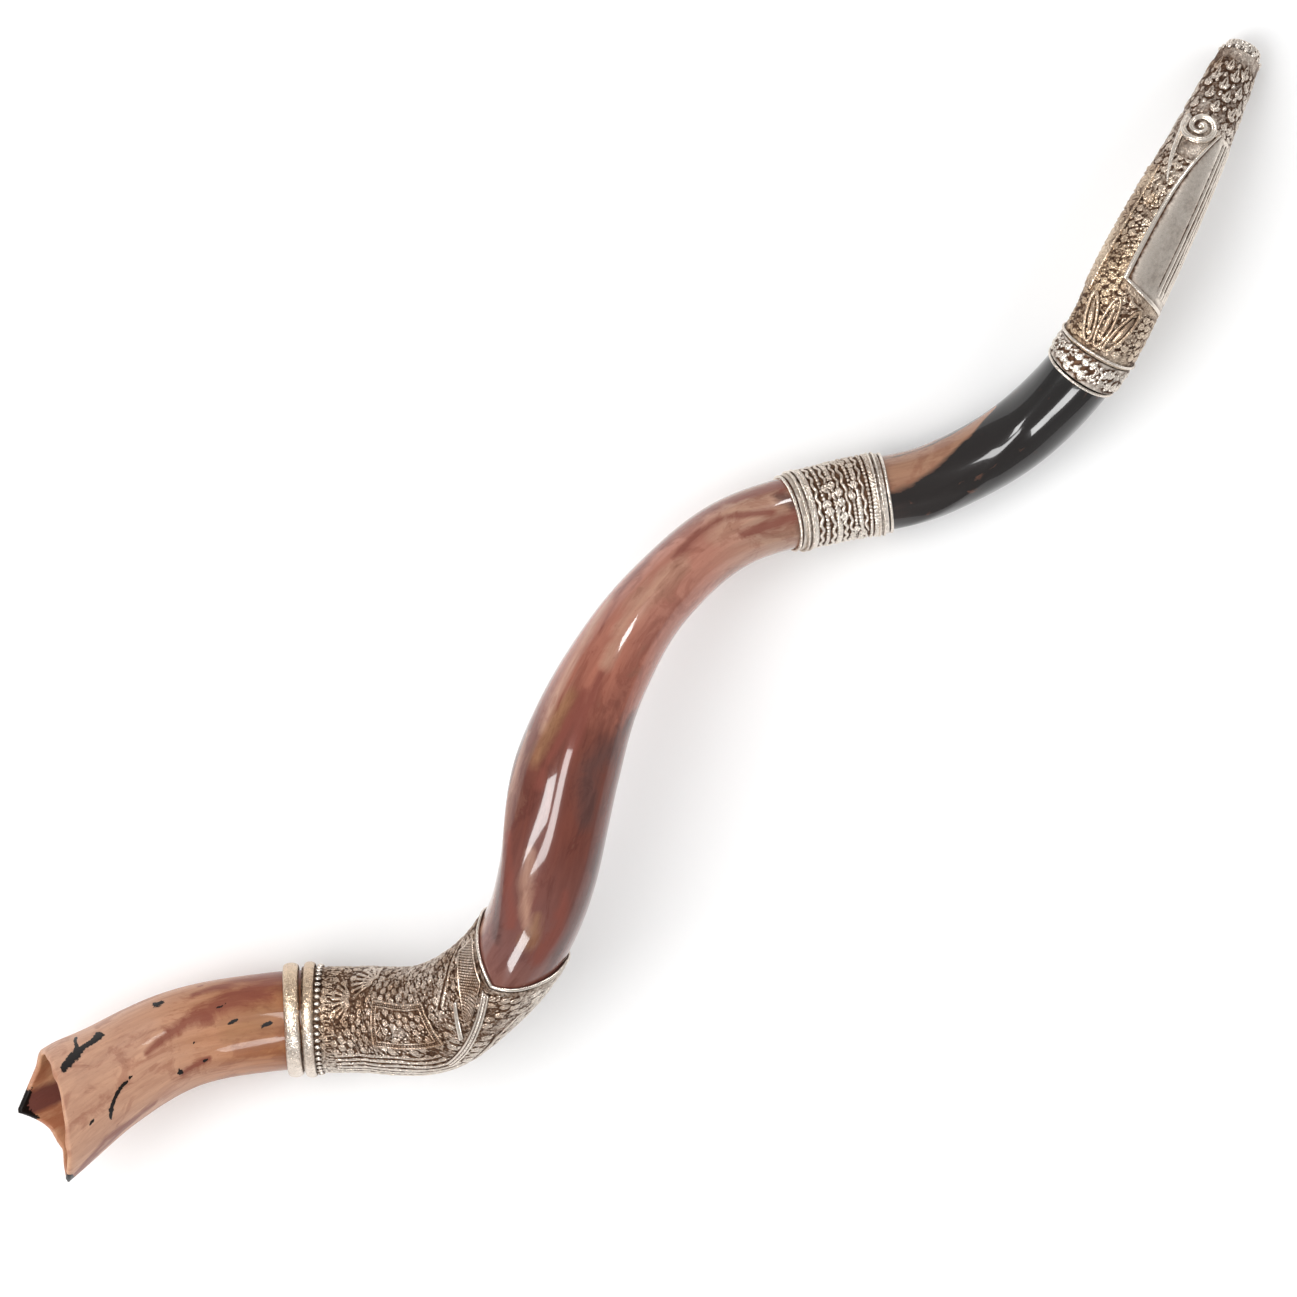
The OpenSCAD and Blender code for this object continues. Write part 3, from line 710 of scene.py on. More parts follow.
def horn_material():
    material, tree, shader = new_material("kudu horn")
    place = add(tree, "TexCoord").outputs["Object"]
    grain = attribute(tree, "grain", "Vector")

    def along_grain(stretch, *pattern):
        """Noise that is drawn out along the horn."""
        drawn = add(tree, "Mapping", {"Vector": grain, "Scale": (1.0, 1.0, stretch)}).outputs[0]
        return noise(tree, drawn, *pattern)

    fibres = along_grain(0.06, 900.0, 3.0, 0.6)
    streaks = along_grain(0.12, 190.0, 4.0, 0.6, 0.6)
    patches = along_grain(0.45, 75.0, 5.0, 0.65, 0.8)
    clouds = along_grain(0.3, 48.0, 4.0, 0.6, 0.6)
    fine = noise(tree, place, 700.0, 3.0, 0.6)
    station = attribute(tree, "station")
    wander = calc(tree, "MULTIPLY", calc(tree, "SUBTRACT", clouds, 0.5), 1.3)
    spot = calc(tree, "DIVIDE", calc(tree, "ADD", station, wander), float(LAST))
    colour = ramp(tree, spot, [(u / LAST, rgb) for u, rgb in HORN_COLOURS])

    def mark(name, low, high, raggedness, share=1.0, jitter=patches):
        """A painted mask whose edge is broken up."""
        ragged = calc(tree, "SUBTRACT", jitter, 0.5)
        value = calc(tree, "MULTIPLY_ADD", ragged, raggedness, attribute(tree, name))
        return spread(tree, value, low, high, 0.0, share)

    def stain(colour, share, pigment):
        return blend(tree, share, colour, (*pigment, 1), "MULTIPLY")

    # The pale mask is partly pale horn and partly painted sheen along the left edges of the middle section.
    for mask, pigment in (
            (mark("tan", 0.3, 0.5, 0.6), (0.36, 0.19, 0.115)),
            (mark("pale", 0.2, 0.9, 1.7, 0.75), (0.50, 0.29, 0.20)),
            (mark("olive", 0.2, 0.9, 1.7, 0.7), (0.33, 0.165, 0.075)),
            (mark("dusk", 0.2, 0.9, 1.7, 0.75), (0.10, 0.042, 0.035))):
        colour = blend(tree, mask, colour, (*pigment, 1))
    colour = stain(colour, spread(tree, patches, 0.50, 0.58, 0.0, 0.55), (0.66, 0.50, 0.47))
    colour = stain(colour, spread(tree, streaks, 0.42, 0.72, 0.0, 0.4), (0.62, 0.42, 0.38))
    colour = stain(colour, spread(tree, streaks, 0.58, 0.30, 0.0, 0.3), (1.25, 1.15, 1.10))
    colour = blend(tree, mark("blood", 0.25, 0.8, 1.8, 0.8), colour, (0.21, 0.05, 0.032, 1))
    inner = blend(tree, spread(tree, clouds, 0.42, 0.58), (0.46, 0.19, 0.10, 1), (0.66, 0.38, 0.22, 1))
    inner = blend(tree, mark("plum", 0.2, 0.55, 0.6), inner, (0.20, 0.075, 0.06, 1))
    colour = blend(tree, attribute(tree, "inside"), colour, inner)
    jagged = noise(tree, place, 300.0, 5.0, 0.7, 0.5)
    colour = blend(tree, mark("char", 0.36, 0.46, 1.3, jitter=jagged), colour, (0.006, 0.0035, 0.003, 1))
    colour = stain(colour, spread(tree, fibres, 0.35, 0.65, 0.0, 0.22), (0.72, 0.62, 0.58))
    colour = stain(colour, spread(tree, fine, 0.62, 0.75, 0.0, 0.35), (0.5, 0.36, 0.3))
    tree.links.new(colour, shader.inputs["Base Color"])
    polish = attribute(tree, "polish")
    rough = calc(tree, "ADD", spread(tree, polish, 0.0, 1.0, 0.42, 0.16), calc(tree, "MULTIPLY", fibres, 0.1))
    tree.links.new(rough, shader.inputs["Roughness"])
    tree.links.new(calc(tree, "MULTIPLY", polish, 0.9), shader.inputs["Coat Weight"])
    shader.inputs["Coat Roughness"].default_value = 0.055
    shader.inputs["Coat IOR"].default_value = 1.5
    shader.inputs["Specular IOR Level"].default_value = 0.15
    height = calc(tree, "ADD", fibres, calc(tree, "MULTIPLY", streaks, 1.4))
    height = calc(tree, "MULTIPLY", height, spread(tree, polish, 0.0, 1.0, 1.0, 0.22))
    bump = add(tree, "Bump", {"Strength": 0.35, "Distance": 0.0004, "Height": height})
    tree.links.new(bump.outputs["Normal"], shader.inputs["Normal"])
    return material


def pitch_material():
    material, tree, shader = new_material("pitch")
    place = add(tree, "TexCoord").outputs["Object"]
    lumps = noise(tree, place, 220.0, 4.0, 0.6)
    colour = blend(tree, lumps, (0.03, 0.018, 0.012, 1), (0.09, 0.055, 0.035, 1))
    tree.links.new(colour, shader.inputs["Base Color"])
    tree.links.new(spread(tree, lumps, 0.3, 0.7, 0.55, 0.8), shader.inputs["Roughness"])
    bump = add(tree, "Bump", {"Strength": 0.5, "Distance": 0.0004, "Height": lumps})
    tree.links.new(bump.outputs["Normal"], shader.inputs["Normal"])
    return material


OLD_SILVER = silver_group()
HORN = horn_material()
CHASED = silver_material("chased silver", 1.3, 0.7, 0.6)
ELBOW_SILVER = silver_material("chased silver, painted shade on top", "painted", 0.7, 0.6, "painted")
BRIGHT = silver_material("burnished silver", 0.3, 0.05, 0.15)
WARM_BRIGHT = silver_material("burnished silver, part gilt", 0.65, 0.5, 0.45, "painted")
WHITE_SILVER = silver_material("white silver", 0.25, 0.4, 0.4)
MOUTH_SILVER = silver_material("chased silver, worn gilt in places", "painted", 0.6, 0.6, "painted")
BAND_SILVER = silver_material("white silver, painted shade on one side", "painted", 0.6, 0.6)
STIPPLED = silver_material("stippled silver", 1.0, 0.2, 0.3)
GILT = silver_material("worn gilding", 0.85, 0.45, 0.5, 0.6)
PITCH = pitch_material()


# ---------------------------------------------------------------------------------------------
# Horn
# ---------------------------------------------------------------------------------------------
# Brush strokes on the horn: station, angle and half width in mm of each point of a stroke
MARKS = {
    "char": [
        [(0.96, 40, 5), (0.8, 46, 4), (0.62, 47, 3), (0.36, 52, 6), (0.14, 57, 4.5)],
        [(0.45, 50, 3.5), (0.54, 32, 2.4), (0.62, 26, 2.2)],
        [(1.8, 37, 4.8), (1.84, 36, 3.4)],
        [(1, 103, 1), (0.82, 107, 1.9), (0.66, 115, 2.4), (0.6, 124, 2.8), (0.58, 130, 2)],
        [(1.64, 129, 3.6), (1.68, 131, 2.8)],
        [(2.1, 126, 1.8), (2.16, 124, 1.4)],
        [(2, 100, 1.4), (2.02, 100, 1.2)],
        [(2.88, 95, 1.6), (2.98, 92, 2.2)],
        [(2.52, 86, 1.3), (2.6, 84, 1.6)],
        [(2.4, 66, 1), (2.5, 62, 1.2)],
        [(0.3, 118, 1.3), (0.36, 120, 1.5)],
        [(0, 164, 3), (0.02, 180, 8), (0.04, 196, 4)],
        [(0.02, 196, 3.4), (0.3, 204, 2.6), (0.62, 206, 1.8)],
        [(0, 280, 4), (0.04, 294, 7.5), (0.02, 306, 4.5)],
        [(1.2, 240, 3), (1.35, 236, 2)],
        [(2, 284, 2.6), (2.3, 280, 3.4)],
    ],
    "plum": [
        [(0, 296, 9), (0.5, 290, 10), (1.2, 284, 12), (2, 280, 14)],
    ],
    "blood": [
        [(1.3, 90, 3), (1.88, 78, 5), (2.26, 68, 8), (2.68, 56, 11), (3.2, 30, 15)],
        [(0.1, 176, 5), (0.5, 166, 6), (1, 160, 4)],
        [(2.2, 40, 3), (2.6, 30, 7), (3.2, 20, 9)],
        [(2.28, 24, 2.2), (2.33, 23, 2.2)],
        [(0.1, 168, 3), (0.5, 152, 6), (1.2, 158, 4)],
        [(1.7, 132, 3.6), (2, 128, 3), (2.2, 124, 2.4)],
        [(8.8, 58, 4.6), (8.92, 57, 3)],
        [(8.95, 82, 3), (9.2, 84, 5), (9.62, 86, 4.5), (9.9, 84, 2.5)],
        [(9, 60, 2.6), (9.3, 70, 4), (9.7, 78, 3)],
        [(10.2, 54, 1.6), (10.5, 46, 2.6), (10.66, 42, 1.4)],
        [(10.6, 40, 3), (11, 30, 6), (11.4, 24, 8), (12.2, 34, 6), (12.6, 36, 7)],
        [(11.2, 66, 3), (11.8, 60, 4), (12.3, 84, 3)],
        [(11.9, 100, 4), (12.3, 104, 5), (12.5, 98, 5)],
        [(7.4, 70, 5), (7.8, 54, 4), (8.3, 30, 4)],
        [(7.2, 190, 6), (8.2, 230, 9), (9.4, 250, 5)],
        [(7.1, 120, 7), (7.5, 124, 9), (7.9, 116, 5)],
    ],
    "dusk": [
        [(7.1, 66, 4), (7.6, 40, 3.6), (8.1, 12, 3.6), (8.86, 8, 3), (9.4, 2, 2.4), (9.9, -4, 1.6)],
        [(8.6, 122, 9), (9.02, 112, 10), (9.4, 140, 9), (9.7, 165, 8)],
        [(7.2, 140, 10), (7.7, 150, 10), (8.3, 160, 7)],
        [(12.42, 60, 5), (12.6, 90, 5), (12.6, 130, 7)],
    ],
    # pale: paler horn; the first and third strokes, on the side near 10 to 40 degrees that the camera sees as
    # the left edge, are painted sheen.
    "pale": [
        [(7, 30, 6), (7.6, 22, 7), (8.4, 14, 6), (9.2, 10, 4)],
        [(0.3, 76, 8), (1, 70, 9), (1.6, 60, 6)],
        [(9.3, 40, 5), (9.64, 38, 7), (10.1, 34, 6), (10.6, 26, 3)],
        [(7.5, 84, 4), (7.9, 66, 6), (8.2, 62, 4)],
        [(11.6, 80, 6), (12.1, 62, 10), (12.4, 60, 9)],
        [(10, 84, 5), (10.6, 76, 8), (11.2, 80, 7)],
        [(10.4, 220, 6), (11.2, 210, 9), (11.9, 240, 6)],
    ],
    "olive": [
        [(9, 44, 6), (9.3, 50, 7), (9.6, 58, 5)],
        [(7.3, 96, 6), (7.6, 92, 4)],
        [(2.5, 96, 9), (2.9, 88, 11)],
    ],
    "tan": [
        [(13.3, 60, 21), (13.7, 56, 18), (14.1, 46, 13), (14.5, 33, 9), (14.9, 16, 4)],
        [(13.4, 8, 13), (14, 4, 10), (14.6, -4, 5)],
    ],
}


def painted(u, a, strokes, wider=1.0):
    """How strongly brush strokes cover each spot: 1 on a stroke's line, 0 at its edge."""
    rows, _ = course(u)
    girth = rows[..., 3] * math.pi / 180
    reach = length_to(u)
    cover = np.zeros_like(u)
    for line in strokes:
        for (u0, a0, w0), (u1, a1, w1) in zip(line, line[1:]):
            x0, x1 = length_to(u0), length_to(u1)
            turn = (a - a0 + 180) % 360 - 180
            px, py = reach - x0, turn * girth
            qx, qy = x1 - x0, (a1 - a0) * girth
            share = np.clip((px * qx + py * qy) / np.maximum(qx * qx + qy * qy, 1e-9), 0, 1)
            away = np.hypot(px - share * qx, py - share * qy)
            cover = np.maximum(cover, 1 - away / (w0 + (w1 - w0) * share) / wider)
    return cover


def horn_body():
    wall_at = lambda u: np.interp(u, [0, 8, 14, HORN_END], [BELL_WALL, MIDDLE_WALL, MIDDLE_WALL, MOUTH_WALL])
    outer_u = np.concatenate([np.linspace(HORN_END, 1.6, 380), np.linspace(1.6, 0.035, 46)[1:]])
    inner_u = np.concatenate([np.linspace(0.035, 1.6, 30), np.linspace(1.6, HORN_END, 130)[1:]])
    swing = np.radians(np.arange(20, 180, 20))
    half = BELL_WALL / 2
    rim_u = 0.035 * (1 - np.sin(swing))
    rim_h = -half + half * np.cos(swing)
    us = np.concatenate([outer_u, rim_u, inner_u, outer_u[:1]])
    hs = np.concatenate([0 * outer_u, rim_h, -wall_at(inner_u), [0]])
    inside = np.concatenate([0 * outer_u, np.linspace(0, 1, len(rim_u)), 1 + 0 * inner_u, [0]])
    a = np.linspace(0, 360, 113)
    u_grid, a_grid = np.meshgrid(us, a, indexing="ij")
    turn = np.radians(a_grid)
    rows, _ = course(u_grid)
    lumps = (0.22 * np.sin(1.9 * u_grid + np.sin(turn)) * np.cos(2 * turn + 0.7 * u_grid)
             + 0.12 * np.sin(5.3 * u_grid + 2 * np.sin(turn + 1)) + 0.10 * np.sin(3 * turn + 2.1 * u_grid))
    sharp = np.maximum(0, np.cos(turn - np.radians(rows[..., 4]))) ** 70
    keel = np.interp(u_grid, [6.4, 7.4, 10.5, 12, 13.5, 14.2, 15.6], [0, 1, 1, 0.2, 0.2, 0.8, 0])
    scraped = 0.35 * np.cos(7 * turn + 1.1 * u_grid) * np.interp(u_grid, [0.2, 0.8, 2.6, 3.1], [0.3, 1, 1, 0])
    outside = (1 - inside)[:, None]
    h = hs[:, None] + outside * (lumps + 0.9 * sharp * keel + scraped * 0.6) * (hs > -0.1)[:, None]
    h[-1] = h[0]
    ragged = 0.004 * np.sin(5 * turn + 1) + 0.003 * np.sin(11 * turn)
    u_at = u_grid + ragged * np.clip(1 - u_grid / 0.3, 0, 1)
    radius = rows[..., 3] * MM
    grain = np.stack([radius * np.cos(turn), radius * np.sin(turn), length_to(u_grid) * MM], axis=2)
    wider = {"blood": 1.3, "dusk": 1.4, "pale": 1.5, "olive": 1.5, "plum": 1.2}
    masks = {key: painted(u_grid, a_grid, strokes, wider.get(key, 1.0)) for key, strokes in MARKS.items()}
    masks["inside"] = inside[:, None] + 0 * u_grid
    masks["station"] = u_grid
    polish = np.interp(u_grid, [0, 2.0, 3.0, 7.0], [0.12, 0.2, 0.5, 1.0])
    masks["polish"] = polish * (1 - masks["inside"] * 0.7)
    points = skin(np.maximum(u_at, -0.05), a_grid, h)
    piece = grid_piece("horn_body", points, HORN, masks, {"grain": grain})
    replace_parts(piece, "horn")


horn_body()


# ---------------------------------------------------------------------------------------------
# Elbow sleeve
# ---------------------------------------------------------------------------------------------
def thicket(chase, x0, x1, pitch, seed, r=0.6, h=0.6, margin=-99):
    """Close-set scrolls, leaves, flowers and beads, each set a little off its row."""
    chance = np.random.default_rng(seed)
    rows = max(1, round((x1 - x0) / pitch))
    columns = max(3, round(chase.width / pitch))
    for i in range(rows):
        for k in range(columns):
            dx, dy, kind, way = chance.random(4)
            x = x0 + (i + 0.5 + 0.3 * (dx - 0.5)) * (x1 - x0) / rows
            y = (k + 0.5 * (i % 2) + 0.3 * (dy - 0.5)) * chase.width / columns
            if not margin < y < chase.width - margin:
                continue
            if kind < 0.5:
                chase.curl(x, y, pitch * 0.44, 360 * way, 1.3, r, h, 1 if way < 0.5 else -1)
            elif kind < 0.68:
                chase.flower(x, y, pitch * 0.44, 6, h)
            elif kind < 0.88:
                for turn in (0, 120, 240):
                    chase.leaf(x, y, 360 * way + turn, pitch * 0.5, r * 1.25, h)
            else:
                for turn in range(5):
                    w = 2 * math.pi * (turn / 5 + way)
                    chase.dome(x + 0.36 * pitch * math.cos(w), y + 0.36 * pitch * math.sin(w), r * 1.1, h)
            chase.dome(x + pitch * 0.5, y + pitch * 0.25, r, h * 0.9)
            chase.dome(x, y + pitch * 0.52, r * 0.9, h * 0.8)


def elbow_sleeve():
    chase = sheet_round(ELBOW_START, ELBOW_EDGE, ELBOW_R, 0.57)
    spot = chase.spot
    thicket(chase, 10, chase.length - 3, 5.6, 4, 0.62, 0.5)
    for k in range(40):
        chase.leaf(spot(3.6, 0)[0], chase.width * k / 40, 0, 4.2, 1.5, 0.6)
    for u, a, heading, reach in ((4.0, 68, 175, 13), (4.34, 44, 195, 15)):
        x, y = spot(u, a)
        chase.smooth_over(x - reach * 1.1, x + 1, y - reach * 0.7, y + reach * 0.7, 3.0)
        chase.fan(x, y, heading, reach, 110, 8, 0.45)
    for a, wave in ((136, 0.5), (143, 0.4), (150, 0.6), (157, 0.3), (163, 0.5), (170, 0.3)):
        line = [(spot(u, a)[0], spot(u, a)[1] + wave * math.sin(9 * u)) for u in np.linspace(3.7, 5.3, 40)]
        chase.groove([(x, y + 1.2) for x, y in line], 0.9, -0.05)
        chase.ridge(line, 0.8, 0.75)
    for line in (((5.2, 176), (5.32, 172), (5.6, 160), (5.98, 148), (6.3, 147), (6.5, 150), (6.8, 166)),
                 ((6.38, 14), (6.32, 24), (6.12, 56), (5.9, 82))):
        crease = [spot(u, a) for u, a in line]
        chase.groove(crease, 1.5, 0.45)
        chase.ridge([(x + 2.6, y) for x, y in crease], 0.9, 0.7)
    (x0, y0), (x1, y1) = spot(FRAME_START, FRAME_LOW), spot(FRAME_END, FRAME_HIGH)
    chase.smooth_over(x0, x1, y0, y1)

    def gild(u, a):
        near_bell = np.clip(0.8 * (1 - (u - 3.2) / 0.9), 0, 1)
        return near_bell * np.clip(np.cos(np.radians(a - 60)) + 0.2, 0, 1)

    # Painted shade by angle: the sleeve is darker over the top and all round, and left light on the side near
    # 190 degrees.
    def tarnish_and_shade(u, a):
        return 0.32 + 0.78 * np.clip((turn_between(a, 190) - 30) / 40, 0, 1)

    piece = sleeve_piece("elbow_sleeve_chased", ELBOW_START, elbow_end, chase, ELBOW_SILVER,
                         masks={"gilding": gild, "tarnish_and_shade": tarnish_and_shade}, roll=0.4)
    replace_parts(piece, "elbow_sleeve")


elbow_sleeve()


def elbow_panel():
    """A framed panel of scrolls and flowers on the elbow sleeve."""
    def spot(s, t):
        return FRAME_START + (FRAME_END - FRAME_START) * s, FRAME_LOW + (FRAME_HIGH - FRAME_LOW) * t

    length = length_to(FRAME_END) - length_to(FRAME_START)
    chase = Chasing(length, math.radians(FRAME_HIGH - FRAME_LOW) * 30, 0.36, closed=False)
    thicket(chase, 5, length - 5, 4.6, 9, 0.5, 0.55, margin=5)
    chase.ridge(chase.frame(1.4), 0.8, 0.8)
    chase.ridge(chase.frame(4.2), 0.55, 0.6)
    chase.beads(chase.frame(2.9), 1.5, 0.55, 0.5)
    piece = plate_piece("elbow_panel_chased", spot, chase, CHASED, base=2.3)
    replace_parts(piece, "elbow_panel")


def seam_u(a):
    """The slanting seam between the sleeve and the gore."""
    return 6.32 - 0.74 * (a - 24) / 108


def elbow_plates():
    first, final = 30, 112

    def gore_spot(s, t):
        a = first + (final - first) * t
        near = seam_u(a) + 0.1
        far = np.minimum(elbow_end(a) - 0.06, 6.28 - 0.02 * (a - 93))
        return near + (far - near) * s, a

    chase = Chasing(20, 46, 0.4, closed=False)
    for i in range(11):
        for k in range(26):
            chase.dome(2.4 + 1.6 * i, 1.8 + 1.7 * k + 0.8 * (i % 2), 0.62, 0.4)
    chase.ridge(chase.frame(0.9), 0.8, 0.6)
    piece = plate_piece("elbow_gore_stippled", gore_spot, chase, STIPPLED, base=2.2)
    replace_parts(piece, "elbow_gore")

    strap_start, strap_end, half = 5.22, 6.42, 5

    def strap_spot(s, t):
        u = strap_start + (strap_end - strap_start) * s
        return u, course(u)[0][..., 4] - 10 + half * (2 * t - 1)

    length = length_to(strap_end) - length_to(strap_start)
    chase = Chasing(length + 8, 5.4, 0.3, closed=False)
    for k in range(26):
        chase.leaf(1.4 + k * (length + 5) / 26, 2.7, 0, 1.5, 0.9, 0.45, veined=False)
    for y in (0.9, 4.5):
        chase.ridge([(0.6, y), (length + 7.4, y)], 0.55, 0.45)
    piece = plate_piece("keel_strap_chased", strap_spot, chase, BRIGHT, base=2.8)
    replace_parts(piece, "keel_strap")

    def seam_spot(s, t):
        a = SEAM_LOW + (SEAM_HIGH - SEAM_LOW) * t
        return seam_u(a) + 0.05 * (2 * s - 1), a

    chase = Chasing(4.2, 22, 0.3, closed=False)
    chase.ridge([(2.1, 0.8), (2.1, 21.2)], 1.5, 0.5)
    piece = plate_piece("seam_strap_bright", seam_spot, chase, BRIGHT, base=2.4)
    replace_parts(piece, "seam_strap")

    piece = ring_wire("elbow_edge_wire_bright", lambda a: elbow_end(a) + 0.04, 1.25, 1.0, BRIGHT,
                      steps=300, file_marks=140)
    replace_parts(piece, "elbow_edge_wire")


elbow_panel()
elbow_plates()


def bell_ring():
    steps, sides = 240, 20
    top = np.clip(np.cos(np.radians(np.linspace(0, 360, steps + 1) - 20)), 0, 0.7)
    gild = {"gilding": np.tile(top, (sides + 1, 1))}
    mouldings = [
        ring_wire(f"bell_ring.{name}", u, h, r, WARM_BRIGHT, sides, steps, 0, gild, 2.0)
        for name, u, h, r in (("big", RING_START, 2.3, 2.2), ("small", RING_START + MOULDING_GAP, 3.35, 1.5))]
    piece = joined("bell_ring_mouldings", mouldings)
    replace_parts(piece, "bell_ring")
    spots = []
    for k in range(44):
        u, a = RING_START + RING_BEAD_GAP, 360 * k / 44
        spots.append((skin(u, a, SLEEVE_OUT + 0.75), *stand(u, a), (1.9, 1.25, 1.15)))
    piece = bead_ring("bell_ring_notches", spots, WHITE_SILVER, 12)
    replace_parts(piece, "bell_ring_beads")


bell_ring()


# ---------------------------------------------------------------------------------------------
# Middle band
# ---------------------------------------------------------------------------------------------
def middle_band():
    chase = sheet_round(BAND_START, BAND_END, BAND_R, 0.37)
    length, girth = chase.length, chase.width
    kinds = "rope", "wave", "beads", "wave", "rope", "wave", "wave", "beads", "rope", "wave", "beads", "rope"
    pitch = (length - 15) / (len(kinds) - 1)
    for i, kind in enumerate(kinds):
        x = 7.5 + pitch * i
        if kind == "rope":
            chase.rope(x, 0.9, 0.9, 2.1)
        elif kind == "wave":
            chase.hoop(x, 0.85, 0.85, 0.7, 15 + 2 * (i % 3))
        else:
            chase.beads([(x, 0), (x, girth)], 2.4, 1.05, 1.1)
    chance = np.random.default_rng(12)
    for x, y, way, kind in chance.random((46, 4)):
        x, y = 13 + (length - 26) * x, girth * y
        chase.smooth_over(x - 3.2, x + 3.2, y - 3.2, y + 3.2, 0.9)
        if kind < 0.6:
            chase.curl(x, y, 2.5, 360 * way, 1.4, 0.65, 0.95, 1 if way < 0.5 else -1)
        else:
            chase.flower(x, y, 2.6, 6, 0.95)

    # Painted shade by angle: the band is darkest on the side near 10 degrees, less over the top, and left
    # light on the opposite side and underneath.
    def tarnish_and_shade(u, a):
        return 0.05 + 0.6 * np.clip(0.3 + np.cos(np.radians(a - 10)), 0, 1)

    piece = sleeve_piece("middle_band_chased", BAND_START, BAND_END, chase, BAND_SILVER,
                         masks={"tarnish_and_shade": tarnish_and_shade})
    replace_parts(piece, "middle_band")
    ropes = [rope_ring("rope.0", BAND_START - 0.03, 1.0, 1.0, 30, WHITE_SILVER)]
    wires = [ring_wire("edge.0", BAND_END + 0.03, 1.0, 0.95, WHITE_SILVER)]
    for k in (1, 2):
        ropes.append(rope_ring(f"rope.{k}", BAND_START + 0.045 * k, 2.5, 0.85, 32, WHITE_SILVER))
        wires.append(ring_wire(f"edge.{k}", BAND_END - 0.045 * k, 2.4, 0.68, WHITE_SILVER, 10, 240, 60))
    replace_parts(joined("middle_rope_wires_twisted", ropes), "middle_rope_wires")
    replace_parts(joined("middle_edge_wires_milled", wires), "middle_edge_wires")


middle_band()


# ---------------------------------------------------------------------------------------------
# Mouth sleeve and what is on it
# ---------------------------------------------------------------------------------------------
PANEL_START, PANEL_SKEW, PANEL_REACH, PANEL_FAR = 16.82, 0.2, 1.38, 174
VOLUTE_U, VOLUTE_A, VOLUTE_R = 18.18, 78, 10.5
# Length of one station and degrees in one mm round the sleeve, near the volute
STATION_MM, VOLUTE_TURN = 76, 57.3 / 16


def panel_near(s):
    """Angle of the smooth panel's near side, a share s of the way along it."""
    return 74 + 44 * s**4


def mouth_sleeve():
    chase = sheet_round(COLLAR_END, HORN_END, MOUTH_R, 0.51)
    spot = chase.spot
    thicket(chase, 5, spot(18.4, 0)[0], 5.0, 33, 0.6, 0.6)
    for a in (178, 183, 188):
        line = [spot(u, a + 4 * math.sin(1.7 * u)) for u in np.linspace(16.9, 18.3, 40)]
        chase.groove([(x, y + 1.0) for x, y in line], 0.8, -0.05)
        chase.ridge(line, 0.7, 0.6)

    def under_panel(u, a):
        s = np.clip((u - PANEL_START) / PANEL_REACH, 0, 1)
        low = PANEL_START - PANEL_SKEW * np.clip((a - 74) / 100, 0, 1) * (1 - s)
        return (u > low) & (u < PANEL_START + PANEL_REACH) & (a > panel_near(s)) & (a < PANEL_FAR)

    def under_volute(u, a):
        return np.hypot((u - VOLUTE_U) * STATION_MM, (a - VOLUTE_A) / VOLUTE_TURN) < VOLUTE_R + 1

    chase.flatten(under_panel)
    chase.flatten(under_volute)
    chase.flatten(lambda u, a: (u > 18.42) & (a <= 360))
    columns = 9
    chance = np.random.default_rng(5)
    for i in range(5):
        for k in range(columns):
            dx, dy, way, size = chance.random(4) - 0.5
            x = spot(18.44, 0)[0] + 6.0 * i + 2.0 * dx
            y = chase.width * (k + 0.5 * (i % 2) + 0.3 * dy) / columns
            for turn, share in ((0, 1.0), (55, 0.7), (-55, 0.7)):
                reach, half = (6.2 + 2 * size) * share, 2.1 * share
                chase.leaf(x, y, turn + 40 * way, reach, half, 0.85, veined=turn == 0)
            chase.dome(x + 3.4, y + chase.width / columns / 2, 1.3, 0.7)

    def gild(u, a):
        by_vine = np.clip(1 - turn_between(a, 45) / 50, 0, 0.4) * np.clip((18.1 - u) * 2, 0, 1)
        return np.clip(1 - np.abs(u - 16.5) / 0.8, 0, 0.45) + by_vine

    def tarnish_and_shade(u, a):
        by_vine = 0.4 * np.clip(1 - turn_between(a, 30) / 60, 0, 1)
        by_lip = 0.3 * np.clip((u - 18.6) * 5, 0, 1)
        to_volute = np.hypot((u - VOLUTE_U) * STATION_MM, (a - VOLUTE_A) / 3.6)
        return 0.55 + by_vine + by_lip + 0.6 * np.clip(1.2 - to_volute / 12, 0, 1)

    piece = sleeve_piece("mouth_sleeve_chased", COLLAR_END, HORN_END, chase, MOUTH_SILVER,
                         masks={"gilding": gild, "tarnish_and_shade": tarnish_and_shade})
    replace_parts(piece, "mouth_sleeve")


mouth_sleeve()


def mouth_collar():
    chase = sheet_round(COLLAR_START, COLLAR_END, COLLAR_R, 0.4)
    thicket(chase, 1.5, chase.length - 1.5, 4.6, 8, 0.75, 1.0)
    piece = sleeve_piece("mouth_collar_cast", COLLAR_START, COLLAR_END - 0.01, chase, WHITE_SILVER, base=1.9)
    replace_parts(piece, "mouth_collar")
    wires = [ring_wire(f"collar.{k}", u, h, r, WHITE_SILVER, 12, 280, 80)
             for k, u, h, r in ((0, COLLAR_START - 0.03, 1.0, 0.95), (1, COLLAR_END + 0.03, 2.7, 0.9))]
    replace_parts(joined("mouth_collar_wires_milled", wires), "mouth_collar_wires")


mouth_collar()


